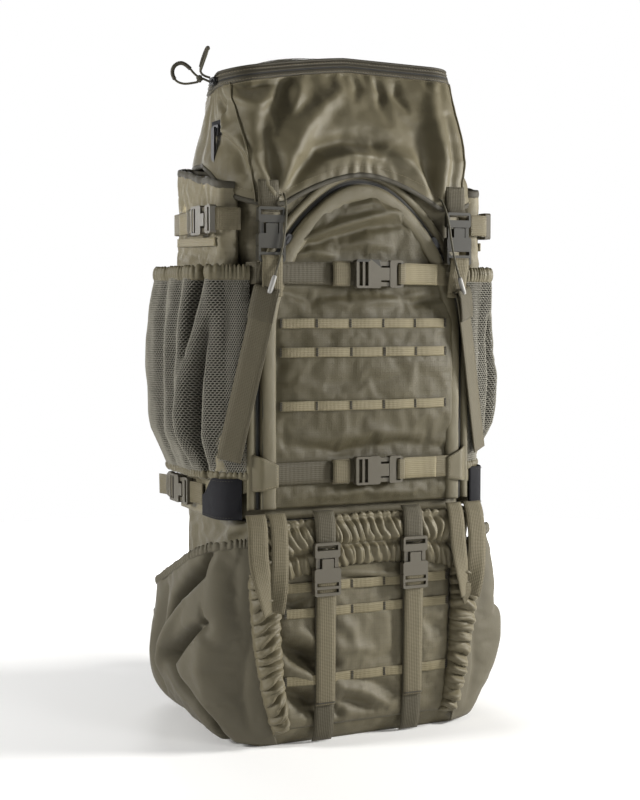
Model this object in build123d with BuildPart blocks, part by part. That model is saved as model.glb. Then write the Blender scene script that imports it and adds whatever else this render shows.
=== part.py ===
"""Hunting backpack, modelled standing on its base, in millimetres.

Frame: +Z up, -Y is the outer front face, +Y the side that lies against the wearer's back,
-X the wearer's left.  The origin is the centre of the flat base panel.
Soft parts are plain closed solids of the right size and place; buckles, sliders, frame parts
and everything that moves are made as they work.
"""

import math
import os

from build123d import *

# ---- driving dimensions -------------------------------------------------------------------
WALL = 3.0  # fabric with its lining and stuffing, as one wall
BAG_W, BAG_FRONT, BAG_REAR = 262.0, -102.0, 85.0  # upper bag
BAG_CORNER = 28.0
BASE_W, BASE_FRONT, BASE_TOP = 272.0, -114.0, 235.0  # lower compartment
BAG_RIM = 604.0  # open mouth of the upper bag
LID_W, LID_FRONT, LID_REAR = 272.0, -108.5, 86.0
LID_CORNER = 34.0
LID_HEM, LID_PEAK, LID_FLOOR = 566.0, 598.0, 613.0
HINGE_Y, HINGE_Z = 96.0, 601.0  # lid hinge line along the top of the back panel

ARCH_R, ARCH_DX, ARCH_Z = 184.0, 66.0, 426.0  # front zip: two arcs whose centres lie across
ZIP_HALF = 6.0
PANEL_BOTTOM = 244.0
PANEL_Y = BAG_FRONT - 0.2
PANEL_THICK, TAPE_THICK = 5.0, 2.4

WEB, WEB_THICK = 23.0, 1.6  # webbing
STRAP_Y = -111.2  # middle of the webbing that crosses the front
BUCKLE_Y = -112.4  # back face of the buckles on the front
UPPER_STRAP_Z, LOWER_STRAP_Z = 495.0, 287.0
BUCKLE_X = 25.0  # mouth of the sockets on the two cross straps
LID_STRAP_X, LID_BUCKLE_Z = 110.0, 545.0
BASE_STRAP_X, BASE_BUCKLE_Z = 52.0, 198.0
BASE_STRAP_Y, BASE_BUCKLE_Y = -122.0, -123.2

PALS_PITCH, PALS_WIDTH, PALS_CELLS = 38.4, 12.0, 5
PALS_UPPER_Z = (443.0, 413.0, 357.0)
PALS_BASE_Z = (168.0, 141.0, 70.0)

SLEEVE_IN, SLEEVE_OUT = 131.3, 157.0  # tall side sleeve, between the bag and the mesh pocket
SLEEVE_Y = (-90.0, 42.0)
SIDE_STRAP_Z = (550.0, 262.0)
SIDE_BUCKLE_Y = (-75.0, -2.0)
MESH_BULGE, MESH_Z = 64.7, (284.0, 498.0)
BASE_POCKET_BULGE, BASE_POCKET_Z = 56.0, (4.0, 226.0)

BUCKLE_W, BUCKLE_THICK = 30.0, 8.0
PLAY = 0.35  # clearance of the plug in its socket

SIDES = ((-1, "left"), (1, "right"))

os.makedirs("parts", exist_ok=True)


def save(part, label):
    """Labels a finished piece and writes it as its own STEP file."""
    part.label = label
    export_step(part, f"parts/{label}.step")


def box(x, y, z):
    """A box between the given (low, high) pairs, added to the part being built."""
    with Locations(((x[0] + x[1]) / 2, (y[0] + y[1]) / 2, (z[0] + z[1]) / 2)):
        Box(x[1] - x[0], y[1] - y[0], z[1] - z[0])


def cut_side_profile(*points):
    """Cuts a (y, z) outline through the whole width of the part being built."""
    with BuildSketch(Plane.YZ.offset(-400)) as profile:
        with BuildLine():
            Polyline(*points, close=True)
        make_face()
    extrude(profile.sketch, amount=800, mode=Mode.SUBTRACT)


def bent_strap(plane, width, thick, points, radius=None):
    """Webbing or padding that follows a path in a plane, extruded across its width."""
    with BuildSketch(plane) as profile:
        with BuildLine():
            if radius:
                FilletPolyline(*points, radius=radius)
            else:
                Polyline(*points)
        trace(line_width=thick)
    extrude(profile.sketch, amount=width / 2, both=True)


# ---- upper bag, divider and base compartment ------------------------------------------------
def rounded_wall(width, front, rear, corner, low, high):
    """A four-sided fabric wall with rounded corners, open above and below."""
    depth = rear - front
    with BuildSketch(Plane.XY.offset(low)) as ring:
        with Locations((0, (front + rear) / 2)):
            RectangleRounded(width, depth, corner)
            RectangleRounded(width - 2 * WALL, depth - 2 * WALL, corner - WALL, mode=Mode.SUBTRACT)
    extrude(ring.sketch, amount=high - low)


DIVIDER_TOP = BASE_TOP + WALL
with BuildPart() as main_bag_shell:
    rounded_wall(BAG_W, BAG_FRONT, BAG_REAR, BAG_CORNER, DIVIDER_TOP, BAG_RIM)
save(main_bag_shell.part, "main_bag_shell")

with BuildPart() as compartment_divider:
    with BuildSketch(Plane.XY.offset(BASE_TOP)):
        with Locations((0, (BASE_FRONT + BAG_REAR) / 2)):
            RectangleRounded(BASE_W, BAG_REAR - BASE_FRONT, BAG_CORNER)
    extrude(amount=WALL)
save(compartment_divider.part, "compartment_divider")

with BuildPart() as base_bag_shell:
    rounded_wall(BASE_W, BASE_FRONT, BAG_REAR, BAG_CORNER, WALL, BASE_TOP)
    with BuildSketch(Plane.XY):
        with Locations((0, (BASE_FRONT + BAG_REAR) / 2)):
            RectangleRounded(BASE_W, BAG_REAR - BASE_FRONT, BAG_CORNER)
    extrude(amount=WALL)
save(base_bag_shell.part, "base_bag_shell")


# ---- zip-open front panel and its zip -------------------------------------------------------
def arch_face(grow):
    """The pointed arch of the front opening, drawn in XZ, grown outwards by a distance."""
    radius = ARCH_R + grow
    half = radius - ARCH_DX
    peak = ARCH_Z + math.sqrt(radius**2 - ARCH_DX**2)
    angle = math.radians(150)
    shoulder = (
        ARCH_DX + radius * math.cos(angle),
        ARCH_Z + radius * math.sin(angle),
    )
    foot = PANEL_BOTTOM - grow
    with BuildLine() as outline:
        ThreePointArc((-half, ARCH_Z), shoulder, (0, peak))
        ThreePointArc((0, peak), (-shoulder[0], shoulder[1]), (half, ARCH_Z))
        Polyline((half, ARCH_Z), (half, foot), (-half, foot), (-half, ARCH_Z))
    make_face(outline.edges())


FRONT_FACE = Plane(origin=(0, PANEL_Y, 0), x_dir=(1, 0, 0), z_dir=(0, -1, 0))
with BuildPart() as front_panel:
    with BuildSketch(FRONT_FACE):
        arch_face(-ZIP_HALF - 0.3)
    extrude(amount=PANEL_THICK)
save(front_panel.part, "front_panel")

with BuildPart() as front_zip_tape:
    with BuildSketch(FRONT_FACE):
        arch_face(ZIP_HALF)
    extrude(amount=TAPE_THICK)
    with BuildSketch(FRONT_FACE):
        arch_face(-ZIP_HALF)
    extrude(amount=TAPE_THICK, mode=Mode.SUBTRACT)
save(front_zip_tape.part, "front_zip_tape")


def zip_slider(plane, length, width, height):
    """A slider body with a rounded nose, its bridge, and a pull that lies along the tape."""
    with BuildSketch(plane) as body:
        RectangleRounded(length, width, width * 0.3)
    extrude(body.sketch, amount=height)
    with BuildSketch(plane.offset(height)) as bridge:
        Rectangle(length * 0.6, width * 0.35)
    extrude(bridge.sketch, amount=1.0)


SLIDER_Y = PANEL_Y - TAPE_THICK - 0.4
SLIDER_ANGLE = 34.0  # degrees up the arc from its springing, where the two sliders rest
for side, word in SIDES:
    turn = math.radians(SLIDER_ANGLE)
    along = (side * math.sin(turn), 0, -math.cos(turn))
    reach = ARCH_R * math.cos(turn) - ARCH_DX
    at = (side * reach, SLIDER_Y, ARCH_Z + ARCH_R * math.sin(turn))
    with BuildPart() as front_slider:
        zip_slider(Plane(origin=at, x_dir=along, z_dir=(0, -1, 0)), 13.0, 8.0, 3.4)
    save(front_slider.part, f"front_slider_{word}")

# ---- PALS webbing ---------------------------------------------------------------------------
PALS_HALF = PALS_PITCH * PALS_CELLS / 2
PANEL_FACE = PANEL_Y - PANEL_THICK
# ---- base front: pouch panel, PALS rows and gathered cuff -----------------------------------
BASE_FACE = BASE_FRONT - 0.2
BASE_PANEL_FACE = BASE_FACE - 4.5
CUFF_IN, CUFF_OUT = 104.0, 126.0
with BuildPart() as base_front_panel:
    box((-CUFF_IN + 0.3, CUFF_IN - 0.3), (BASE_PANEL_FACE, BASE_FACE), (24, 186))
save(base_front_panel.part, "base_front_panel")

with BuildPart() as pals_webbing:
    for rows, face in ((PALS_UPPER_Z, PANEL_FACE), (PALS_BASE_Z, BASE_PANEL_FACE)):
        for row in rows:
            height = (row - PALS_WIDTH / 2, row + PALS_WIDTH / 2)
            box((-PALS_HALF, PALS_HALF), (face - WEB_THICK, face), height)
save(pals_webbing.part, "pals_webbing")

with BuildPart() as base_front_cuff:
    box((-CUFF_OUT, CUFF_OUT), (BASE_FACE - 6.5, BASE_FACE), (186.3, 232))
    for side, word in SIDES:
        edges = sorted((side * CUFF_IN, side * CUFF_OUT))
        box(edges, (BASE_FACE - 6.5, BASE_FACE), (26, 186.3))
save(base_front_cuff.part, "base_front_cuff")


# ---- side-release buckles -------------------------------------------------------------------
def buckle_plane(origin, pull, outward):
    """Local frame of a buckle: x is the way the plug pulls out, z is outward from the bag."""
    return Plane(origin=origin, x_dir=pull, z_dir=outward)


ARM_OUT, ARM_IN = 12.9, 8.6  # across, from the middle of the plug
TONGUE_HALF = 4.0
PRONG_LOW, PRONG_HIGH = 2.0, 6.0  # the prongs lie in the middle of the thickness
NECK = 10.0  # open waist of the socket, where the arms are squeezed
BLOCK = 14.0
LADDER = 15.0


def socket(plane):
    """Socket with an open waist, blind pockets for the arms and tongue, and a ladder bar."""
    waist = 2 * (ARM_IN - 2.0)
    with BuildSketch(plane) as outline:
        with Locations((-NECK - BLOCK / 2, 0)):
            RectangleRounded(BLOCK, BUCKLE_W, 2.5)
        with Locations((-NECK / 2 - 1, 0)):
            Rectangle(NECK + 2, waist)
        with Locations((-NECK - BLOCK - LADDER / 2 + 1, 0)):
            RectangleRounded(LADDER + 2, BUCKLE_W, 2.5)
        for bay in (0, 1):
            with Locations((-NECK - BLOCK - 3.0 - bay * 6.8, 0)):
                Rectangle(4.0, BUCKLE_W - 5, mode=Mode.SUBTRACT)
    extrude(outline.sketch, amount=BUCKLE_THICK)
    pocket_high = PRONG_HIGH + PLAY
    with BuildSketch(plane.offset(PRONG_LOW - PLAY)) as pockets:
        with Locations((-8, 0)):
            Rectangle(16.2, 2 * (TONGUE_HALF + PLAY))
        for across in (-1, 1):
            with Locations((-NECK - 5.5, across * (ARM_IN + ARM_OUT) / 2)):
                Rectangle(12.6, ARM_OUT - ARM_IN + 2 * PLAY)
    extrude(pockets.sketch, amount=pocket_high - PRONG_LOW + PLAY, mode=Mode.SUBTRACT)


def plug(plane):
    """Plug with two spring arms, a guide tongue and a slotted webbing frame."""
    with BuildSketch(plane.offset(0.6)) as body:
        with Locations((9.0, 0)):
            RectangleRounded(16, BUCKLE_W - 1, 2.5)
        with Locations((11.4, 0)):
            Rectangle(5.2, BUCKLE_W - 6, mode=Mode.SUBTRACT)
    extrude(body.sketch, amount=BUCKLE_THICK - 1.2)
    with BuildSketch(plane.offset(PRONG_LOW)) as prongs:
        with Locations((-6.0, 0)):
            Rectangle(16, 2 * TONGUE_HALF)
        for across in (-1, 1):
            with Locations((-9.2, across * (ARM_IN + ARM_OUT) / 2)):
                Rectangle(23, ARM_OUT - ARM_IN)
    extrude(prongs.sketch, amount=PRONG_HIGH - PRONG_LOW)


UP, OUT = (0, 0, 1), (0, -1, 0)
CROSS_BUCKLES = [
    (word, buckle_plane((BUCKLE_X, BUCKLE_Y, height), (1, 0, 0), OUT))
    for word, height in (("upper", UPPER_STRAP_Z), ("lower", LOWER_STRAP_Z))
]
LID_BUCKLES = [
    (word, buckle_plane((side * LID_STRAP_X, BUCKLE_Y, LID_BUCKLE_Z), UP, OUT)) for side, word in SIDES
]
BASE_BUCKLES = [
    (word, buckle_plane((side * BASE_STRAP_X, BASE_BUCKLE_Y, BASE_BUCKLE_Z), UP, OUT)) for side, word in SIDES
]
SIDE_BUCKLES = []
for side, word in SIDES:
    for level, height, mouth in zip(("upper", "lower"), SIDE_STRAP_Z, SIDE_BUCKLE_Y):
        origin = (side * (SLEEVE_OUT + 2.4), mouth, height)
        SIDE_BUCKLES.append((f"{level}_{word}", buckle_plane(origin, OUT, (side, 0, 0))))

with BuildPart() as front_buckle_sockets:
    for word, plane in CROSS_BUCKLES + LID_BUCKLES + BASE_BUCKLES:
        socket(plane)
save(front_buckle_sockets.part, "front_buckle_sockets")

with BuildPart() as side_buckle_sockets:
    for word, plane in SIDE_BUCKLES:
        socket(plane)
save(side_buckle_sockets.part, "side_buckle_sockets")

with BuildPart() as lid_strap_plugs:
    for word, plane in LID_BUCKLES:
        plug(plane)
save(lid_strap_plugs.part, "lid_strap_plugs")

for group, buckles in (("cross", CROSS_BUCKLES), ("base", BASE_BUCKLES), ("side", SIDE_BUCKLES)):
    for word, plane in buckles:
        with BuildPart() as strap_plug:
            plug(plane)
        save(strap_plug.part, f"{group}_plug_{word}")

# ---- webbing on the bag ---------------------------------------------------------------------
HALF_BAG = BAG_W / 2
CROSS_END = ((HALF_BAG - 3.6, -93.5), (HALF_BAG - 3.6, -104.5), (HALF_BAG - 10.5, STRAP_Y))
CROSS_PATH = [(-x, y) for x, y in CROSS_END] + list(reversed(CROSS_END))
with BuildPart() as cross_strap_webbing:
    for height in (UPPER_STRAP_Z, LOWER_STRAP_Z):
        bent_strap(Plane.XY.offset(height), WEB, WEB_THICK, CROSS_PATH)
save(cross_strap_webbing.part, "cross_strap_webbing")

BASE_STRAP_PATH = ((-118.2, 246.0), (BASE_STRAP_Y, 234.5), (BASE_STRAP_Y, 40.0), (-116.4, 4.0))
BASE_TAIL_PATH = ((BASE_STRAP_Y - 5.0, 152.0), (BASE_STRAP_Y - 2.4, 40.0))
with BuildPart() as base_strap_webbing:
    for side, word in SIDES:
        for path in (BASE_STRAP_PATH, BASE_TAIL_PATH):
            bent_strap(Plane.YZ.offset(side * BASE_STRAP_X), WEB, WEB_THICK, path)
save(base_strap_webbing.part, "base_strap_webbing")

SIDE_STRAP_X = SLEEVE_OUT + 1.2
SIDE_STRAP_FRONTS = (((SIDE_STRAP_X, -88.0), (134.0, -97.0)), ((SIDE_STRAP_X, -44.0),))
with BuildPart() as side_strap_webbing:
    for side, word in SIDES:
        for height, front in zip(SIDE_STRAP_Z, SIDE_STRAP_FRONTS):
            path = [(side * x, y) for x, y in ((132.5, 52.0), (SIDE_STRAP_X, 44.0)) + front]
            bent_strap(Plane.XY.offset(height), WEB, WEB_THICK, path)
save(side_strap_webbing.part, "side_strap_webbing")

DIAGONAL_TOP, DIAGONAL_FOOT = Vector(115, -117, 476), Vector(150, -97.5, 302)
with BuildPart() as diagonal_straps:
    for side, word in SIDES:
        top = Vector(side * DIAGONAL_TOP.X, DIAGONAL_TOP.Y, DIAGONAL_TOP.Z)
        foot = Vector(side * DIAGONAL_FOOT.X, DIAGONAL_FOOT.Y, DIAGONAL_FOOT.Z)
        run = foot - top
        facing = Vector(side * 0.55, -0.83, 0)
        normal = facing - run * (facing.dot(run) / run.dot(run))
        with BuildSketch(Plane(origin=(top + foot) * 0.5, x_dir=run, z_dir=normal)):
            Rectangle(run.length, WEB + 3)
        extrude(amount=1.8)
save(diagonal_straps.part, "diagonal_straps")

with BuildPart() as anchor_patches:
    for side, word in SIDES:
        path = [(side * x, y) for x, y in ((159.2, -48), (159.2, -84), (152, -96.5), (136, -99))]
        bent_strap(Plane.XY.offset(261.5), 43, 2.0, path)
save(anchor_patches.part, "anchor_patches")

with BuildPart() as gear_loops:
    for side, word in SIDES:
        for step in (-1, 1):
            bent_strap(
                Plane.YZ.offset(side * 116 + step * 11.5),
                19.0,
                WEB_THICK,
                ((-118.4, 246), (-122.4, 234.5), (-122.4 - step * 0.4, 150)),
            )
save(gear_loops.part, "gear_loops")


# ---- side sleeves, mesh pockets and base pockets ---------------------------------------------
SLEEVE_TOP = ((SLEEVE_Y[0], 566.0), (SLEEVE_Y[1], 608.0))
for side, word in SIDES:
    middle = side * (SLEEVE_IN + SLEEVE_OUT) / 2
    centre_y = sum(SLEEVE_Y) / 2
    size = (SLEEVE_OUT - SLEEVE_IN, SLEEVE_Y[1] - SLEEVE_Y[0])
    with BuildPart() as side_sleeve:
        with BuildSketch(Plane.XY.offset(240)):
            with Locations((middle, centre_y)):
                RectangleRounded(*size, 11)
        extrude(amount=380)
        with BuildSketch(Plane.XY.offset(240 + WALL)):
            with Locations((middle, centre_y)):
                RectangleRounded(size[0] - 5, size[1] - 5, 8.5)
        extrude(amount=400, mode=Mode.SUBTRACT)
        cut_side_profile((-200, 560), *SLEEVE_TOP, (200, 620), (200, 800), (-200, 800))
    save(side_sleeve.part, f"side_sleeve_{word}")


def pocket_outline(plane, side, back_x, span, bulge, corner):
    """Plan of a pocket: flat against the bag, with full round outer corners."""
    with BuildSketch(plane) as outline:
        with Locations((side * (back_x + bulge / 2), (span[0] + span[1]) / 2)):
            Rectangle(bulge, span[1] - span[0])
        fillet(outline.vertices().group_by(Axis.X)[-1 if side > 0 else 0], radius=corner)
    return outline.sketch


def bowed_pocket(side, back_x, span, bulge, corner, levels):
    """A pocket of one bowed wall and a floor; the bag is its fourth side."""
    low, high = levels
    extrude(pocket_outline(Plane.XY.offset(low), side, back_x, span, bulge, corner), amount=high - low)
    inside = pocket_outline(
        Plane.XY.offset(low + POCKET_CLOTH),
        side,
        back_x - 1.0,
        (span[0] + POCKET_CLOTH, span[1] - POCKET_CLOTH),
        bulge + 1.0 - POCKET_CLOTH,
        corner - POCKET_CLOTH,
    )
    extrude(inside, amount=high - low, mode=Mode.SUBTRACT)


POCKET_CLOTH = 2.5
for side, word in SIDES:
    with BuildPart() as mesh_pocket:
        bowed_pocket(side, SLEEVE_IN, (-84, 84), MESH_BULGE, 60.0, MESH_Z)
        recess = sorted((side * (SLEEVE_IN - 3), side * (SLEEVE_OUT + 0.3)))
        with BuildSketch(Plane.XY.offset(MESH_Z[0] - 1)):
            with Locations((sum(recess) / 2, sum(SLEEVE_Y) / 2)):
                Rectangle(recess[1] - recess[0], SLEEVE_Y[1] - SLEEVE_Y[0] + 0.6)
        extrude(amount=MESH_Z[1] - MESH_Z[0] + 2, mode=Mode.SUBTRACT)
    save(mesh_pocket.part, f"mesh_pocket_{word}")
    with BuildPart() as base_pocket:
        bowed_pocket(side, BASE_W / 2 + 0.2, (-104, 84), BASE_POCKET_BULGE, 50.0, BASE_POCKET_Z)
        cut_side_profile((-110, 226.0), (100, 140.0), (100, 300), (-110, 300))
    save(base_pocket.part, f"base_pocket_{word}")

# ---- internal frame and back panel -----------------------------------------------------------
with BuildPart() as frame_sheet:
    with BuildSketch(Plane.XZ.offset(-BAG_REAR - 1.8)):
        with Locations((0, 320)):
            RectangleRounded(232, 550, 24)
        with Locations((0, 150), (0, 490)):
            SlotOverall(90, 26, mode=Mode.SUBTRACT)
    extrude(amount=1.6)
save(frame_sheet.part, "frame_sheet")

with BuildPart() as frame_stays:
    for side, word in SIDES:
        with BuildSketch(Plane.XZ.offset(-BAG_REAR - 5.0)):
            with Locations((side * 72, 320)):
                RectangleRounded(25, 540, 11)
        extrude(amount=3.0)
save(frame_stays.part, "frame_stays")

BACK_Y = BAG_REAR + 5.4
with BuildPart() as back_cover:
    box((-124, 124), (BACK_Y, BACK_Y + 2.6), (22, 594))
    fillet(back_cover.edges().filter_by(Axis.Y), radius=24)
save(back_cover.part, "back_cover")

PAD_Y = BACK_Y + 2.8
with BuildPart() as back_pads:
    for side, word in SIDES:
        x = sorted((side * 18, side * 104))
        box(x, (PAD_Y, PAD_Y + 16), (262, 470))
    fillet(back_pads.edges().filter_by(Axis.Y), radius=18)
save(back_pads.part, "back_pads")

with BuildPart() as lumbar_pad:
    box((-92, 92), (PAD_Y, PAD_Y + 22), (46, 150))
    fillet(lumbar_pad.edges().filter_by(Axis.Y), radius=26)
save(lumbar_pad.part, "lumbar_pad")

# ---- harness: shoulder straps, load lifters, hip belt and haul handle ------------------------
LID_HINGE_X = 95.0
STRAP_PATH = ((98, 536), (124, 520), (139, 450), (140, 380), (122, 282), (117, 252))
STRAP_X, STRAP_W = 62.0, 64.0
for side, word in SIDES:
    with BuildPart() as shoulder_strap:
        bent_strap(Plane.YZ.offset(side * STRAP_X), STRAP_W, 10.0, STRAP_PATH, radius=18)
    save(shoulder_strap.part, f"shoulder_strap_{word}")

ANCHOR_HINGE_PATH = ((94.4, 556), (94.4, 588), (96, 599.6))
with BuildPart() as strap_anchor_webbing:
    for side, word in SIDES:
        bent_strap(Plane.YZ.offset(side * STRAP_X), WEB, WEB_THICK, ((94.6, 176), (108, 190), (116, 244)))
        bent_strap(Plane.YZ.offset(side * STRAP_X), 19, WEB_THICK, ((94.6, 586), (109, 574), (118, 549)))
        bent_strap(Plane.YZ.offset(side * LID_HINGE_X), WEB, WEB_THICK, ANCHOR_HINGE_PATH)
save(strap_anchor_webbing.part, "strap_anchor_webbing")

for side, word in SIDES:
    with BuildPart() as strap_adjuster:
        ladder = Plane(origin=(side * STRAP_X, 118.6, 262), x_dir=(1, 0, 0), z_dir=(0, 1, 0))
        with BuildSketch(ladder.offset(9.4)):
            RectangleRounded(34, 26, 4)
            with Locations((0, 6), (0, -6)):
                Rectangle(27, 5, mode=Mode.SUBTRACT)
        extrude(amount=4.0)
    save(strap_adjuster.part, f"strap_adjuster_{word}")

BACK = (0, 1, 0)
with BuildPart() as sternum_socket:
    socket(buckle_plane((-17, 146, 405), (0, 0, -1), BACK))
save(sternum_socket.part, "sternum_socket")
with BuildPart() as sternum_plug:
    plug(buckle_plane((17, 146, 430), UP, BACK))
save(sternum_plug.part, "sternum_plug")

HIP_PATH = ((104, 106), (138, 120), (146, 150), (62, 172))
for side, word in SIDES:
    with BuildPart() as hip_wing:
        bent_strap(Plane.XY.offset(88), 84, 12.0, [(side * x, y) for x, y in HIP_PATH], radius=14)
    save(hip_wing.part, f"hip_wing_{word}")

with BuildPart() as hip_buckle_socket:
    socket(buckle_plane((-6, 173, 88), (1, 0, 0), BACK))
save(hip_buckle_socket.part, "hip_buckle_socket")
with BuildPart() as hip_buckle_plug:
    plug(buckle_plane((30, 173, 88), (1, 0, 0), BACK))
save(hip_buckle_plug.part, "hip_buckle_plug")

with BuildPart() as haul_handle:
    bent_strap(Plane.XZ.offset(-102), 12, 4.0, ((-40, 578), (-34, 552), (34, 552), (40, 578)), radius=9)
save(haul_handle.part, "haul_handle")

# ---- lid -------------------------------------------------------------------------------------
LID_DEPTH = LID_REAR - LID_FRONT
LID_MID = (LID_REAR + LID_FRONT) / 2
LID_PROFILE = (
    (LID_FRONT, LID_HEM),
    (-108.5, 620.0),
    (-94.0, 650.0),
    (-71.0, 700.0),
    (-48.0, 722.0),
    (-10.0, 728.0),
    (22.0, 712.0),
    (50.0, 668.0),
    (LID_REAR, 622.0),
    (LID_REAR, LID_HEM),
)


def lid_form(grow):
    """Outer form of the stuffed lid, grown outwards by a distance (negative shrinks it)."""
    with BuildPart() as form:
        with BuildSketch(Plane.YZ.offset(-200)):
            with BuildLine():
                Polyline(*LID_PROFILE, close=True)
            make_face()
            if grow:
                offset(amount=grow)
        extrude(amount=400)
        with BuildSketch(Plane.XY.offset(LID_HEM - 20)):
            with Locations((0, LID_MID)):
                RectangleRounded(LID_W + 2 * grow, LID_DEPTH + 2 * grow, LID_CORNER + grow)
        extrude(amount=200, mode=Mode.INTERSECT)
    return form.part


lid_body, lid_inside = lid_form(0), lid_form(-WALL)
rim_outside, rim_inside = lid_form(2.2), lid_form(0.4)

with BuildPart() as lid_hollow:
    add(lid_inside)
    with BuildSketch(Plane.XY.offset(LID_FLOOR + WALL)):
        Rectangle(400, 400)
    extrude(amount=200, mode=Mode.INTERSECT)

with BuildPart() as lid_shell:
    add(lid_body)
    add(lid_hollow.part, mode=Mode.SUBTRACT)
    with BuildSketch(Plane.XY.offset(LID_HEM - 5)):
        with Locations((0, LID_MID)):
            RectangleRounded(LID_W - 2 * WALL, LID_DEPTH - 2 * WALL, LID_CORNER - WALL)
    extrude(amount=LID_FLOOR - LID_HEM + 5, mode=Mode.SUBTRACT)
    side_hem = ((-130, LID_HEM), (LID_FRONT, LID_HEM), (0, LID_FLOOR), (200, LID_FLOOR))
    cut_side_profile(*side_hem, (200, 500), (-130, 500))
    with BuildSketch(Plane.XZ.offset(60)):
        with BuildLine():
            Polyline((-88, 500), (-88, LID_HEM), (0, LID_PEAK), (88, LID_HEM), (88, 500), close=True)
        make_face()
    extrude(amount=80, mode=Mode.SUBTRACT)
save(lid_shell.part, "lid_shell")

LID_TAB_PATH = ((-109.6, 598.0), (-110.2, 570.0), (-111.4, 562.0), (-111.4, 553.0))
LID_HINGE_PATH = ((HINGE_Y, HINGE_Z), (89.0, 622.0), (62.0, 656.0))
with BuildPart() as lid_webbing:
    for side, word in SIDES:
        bent_strap(Plane.YZ.offset(side * LID_STRAP_X), WEB, WEB_THICK, LID_TAB_PATH)
        bent_strap(Plane.YZ.offset(side * LID_HINGE_X), WEB, WEB_THICK, LID_HINGE_PATH)
save(lid_webbing.part, "lid_webbing")

RIM_Z, RIM_TAPE = 698.0, 12.0
with BuildPart() as lid_rim_zip:
    add(rim_outside)
    add(rim_inside, mode=Mode.SUBTRACT)
    with BuildSketch(Plane.XY.offset(RIM_Z - RIM_TAPE / 2)):
        with Locations((0, -128)):
            Rectangle(400, 200)
    extrude(amount=RIM_TAPE, mode=Mode.INTERSECT)
save(lid_rim_zip.part, "lid_rim_zip")

RIM_SLIDER_Y, RIM_SLIDER_X = -33.0, -LID_W / 2 - 2.6
with BuildPart() as rim_slider:
    rim_plane = Plane(origin=(RIM_SLIDER_X, RIM_SLIDER_Y, RIM_Z), x_dir=(0, 1, 0), z_dir=(-1, 0, 0))
    zip_slider(rim_plane, 13.0, 8.0, 3.6)
save(rim_slider.part, "rim_slider")

PORT_Y, PORT_Z = -39.0, 646.0
PORT_X = -LID_W / 2 - 0.4
with BuildPart() as port_slider:
    zip_slider(Plane(origin=(PORT_X, PORT_Y, PORT_Z), x_dir=(0, 1, 0), z_dir=(-1, 0, 0)), 18.0, 11.0, 4.0)
    box((PORT_X - 7.0, PORT_X - 4.6), (PORT_Y - 4, PORT_Y + 5), (PORT_Z - 34, PORT_Z + 3))
save(port_slider.part, "port_slider")

# ---- cords: two loops on the rim slider, and a hem cord with its grip under each lid strap ----
CORD = 2.4
RIM_CORD_A = (
    (-143.9, -32.8, 697.4),
    (-150.2, -29.6, 700.5),
    (-157.5, -26.2, 704.0),
    (-163.8, -23.3, 713.0),
    (-171.1, -19.9, 718.0),
    (-178.3, -16.5, 714.0),
    (-180.1, -15.7, 706.0),
    (-176.5, -17.4, 698.0),
    (-169.3, -20.7, 695.0),
    (-162.0, -24.1, 695.6),
    (-154.8, -27.5, 697.2),
)
RIM_CORD_B = (
    (-143.4, -33.0, 701.6),
    (-148.6, -31.4, 702.6),
    (-153.8, -29.6, 707.0),
    (-152.0, -30.6, 717.0),
    (-149.2, -31.8, 726.0),
    (-147.6, -36.0, 732.0),
    (-148.6, -41.8, 731.0),
    (-151.4, -43.6, 723.5),
    (-154.4, -41.0, 714.0),
    (-155.8, -36.4, 706.5),
)
HEM_CORD = (
    (92.0, -108.6, 576.0),
    (92.5, -112.5, 574.5),
    (93.5, -118.0, 566.0),
    (95.5, -123.0, 550.0),
    (98.5, -123.6, 528.0),
    (103.0, -123.8, 508.0),
    (108.5, -123.6, 492.0),
)
GRIP_LENGTH, GRIP_R = 19.0, 2.6


def bend_radii(points):
    """Each bend's radius: nearly as large as its two runs allow."""
    radii = []
    for before, at, after in zip(points, points[1:], points[2:]):
        a, b = Vector(*at) - Vector(*before), Vector(*after) - Vector(*at)
        turn = math.radians(a.get_angle(b))
        radii.append(0.45 * min(a.length, b.length) / math.tan(turn / 2))
    return radii


CORDS = {
    "rim_pull_cord_a": RIM_CORD_A,
    "rim_pull_cord_b": RIM_CORD_B,
    "hem_cord_left": [(-x, y, z) for x, y, z in HEM_CORD],
    "hem_cord_right": HEM_CORD,
}
for label, route in CORDS.items():
    radii = bend_radii(route)
    with BuildPart() as cord:
        with BuildLine() as line:
            FilletPolyline(*route, radius=radii)
        edges = line.edges()
        with BuildSketch(Plane(origin=line.line @ 0, z_dir=line.line % 0)):
            Circle(CORD / 2)
        sweep()
    length = sum(edge.length for edge in edges)
    share = cord.part.volume / (math.pi * CORD**2 / 4 * length)
    print(label, "radii", [round(r, 1) for r in radii], "length", round(length, 1), "share", round(share, 3))
    save(cord.part, label)

with BuildPart() as hem_cord_grips:
    end, before = Vector(*HEM_CORD[-1]), Vector(*HEM_CORD[-2])
    for side, word in SIDES:
        at = (side * end.X, end.Y, end.Z)
        run = (side * (end.X - before.X), end.Y - before.Y, end.Z - before.Z)
        with BuildSketch(Plane(origin=at, z_dir=run)):
            Circle(GRIP_R)
        extrude(amount=GRIP_LENGTH)
save(hem_cord_grips.part, "hem_cord_grips")
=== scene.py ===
from math import acos, copysign, cos, exp, hypot, pi, radians, sin, sqrt

import bpy
from mathutils import Euler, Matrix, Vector, noise


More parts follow.
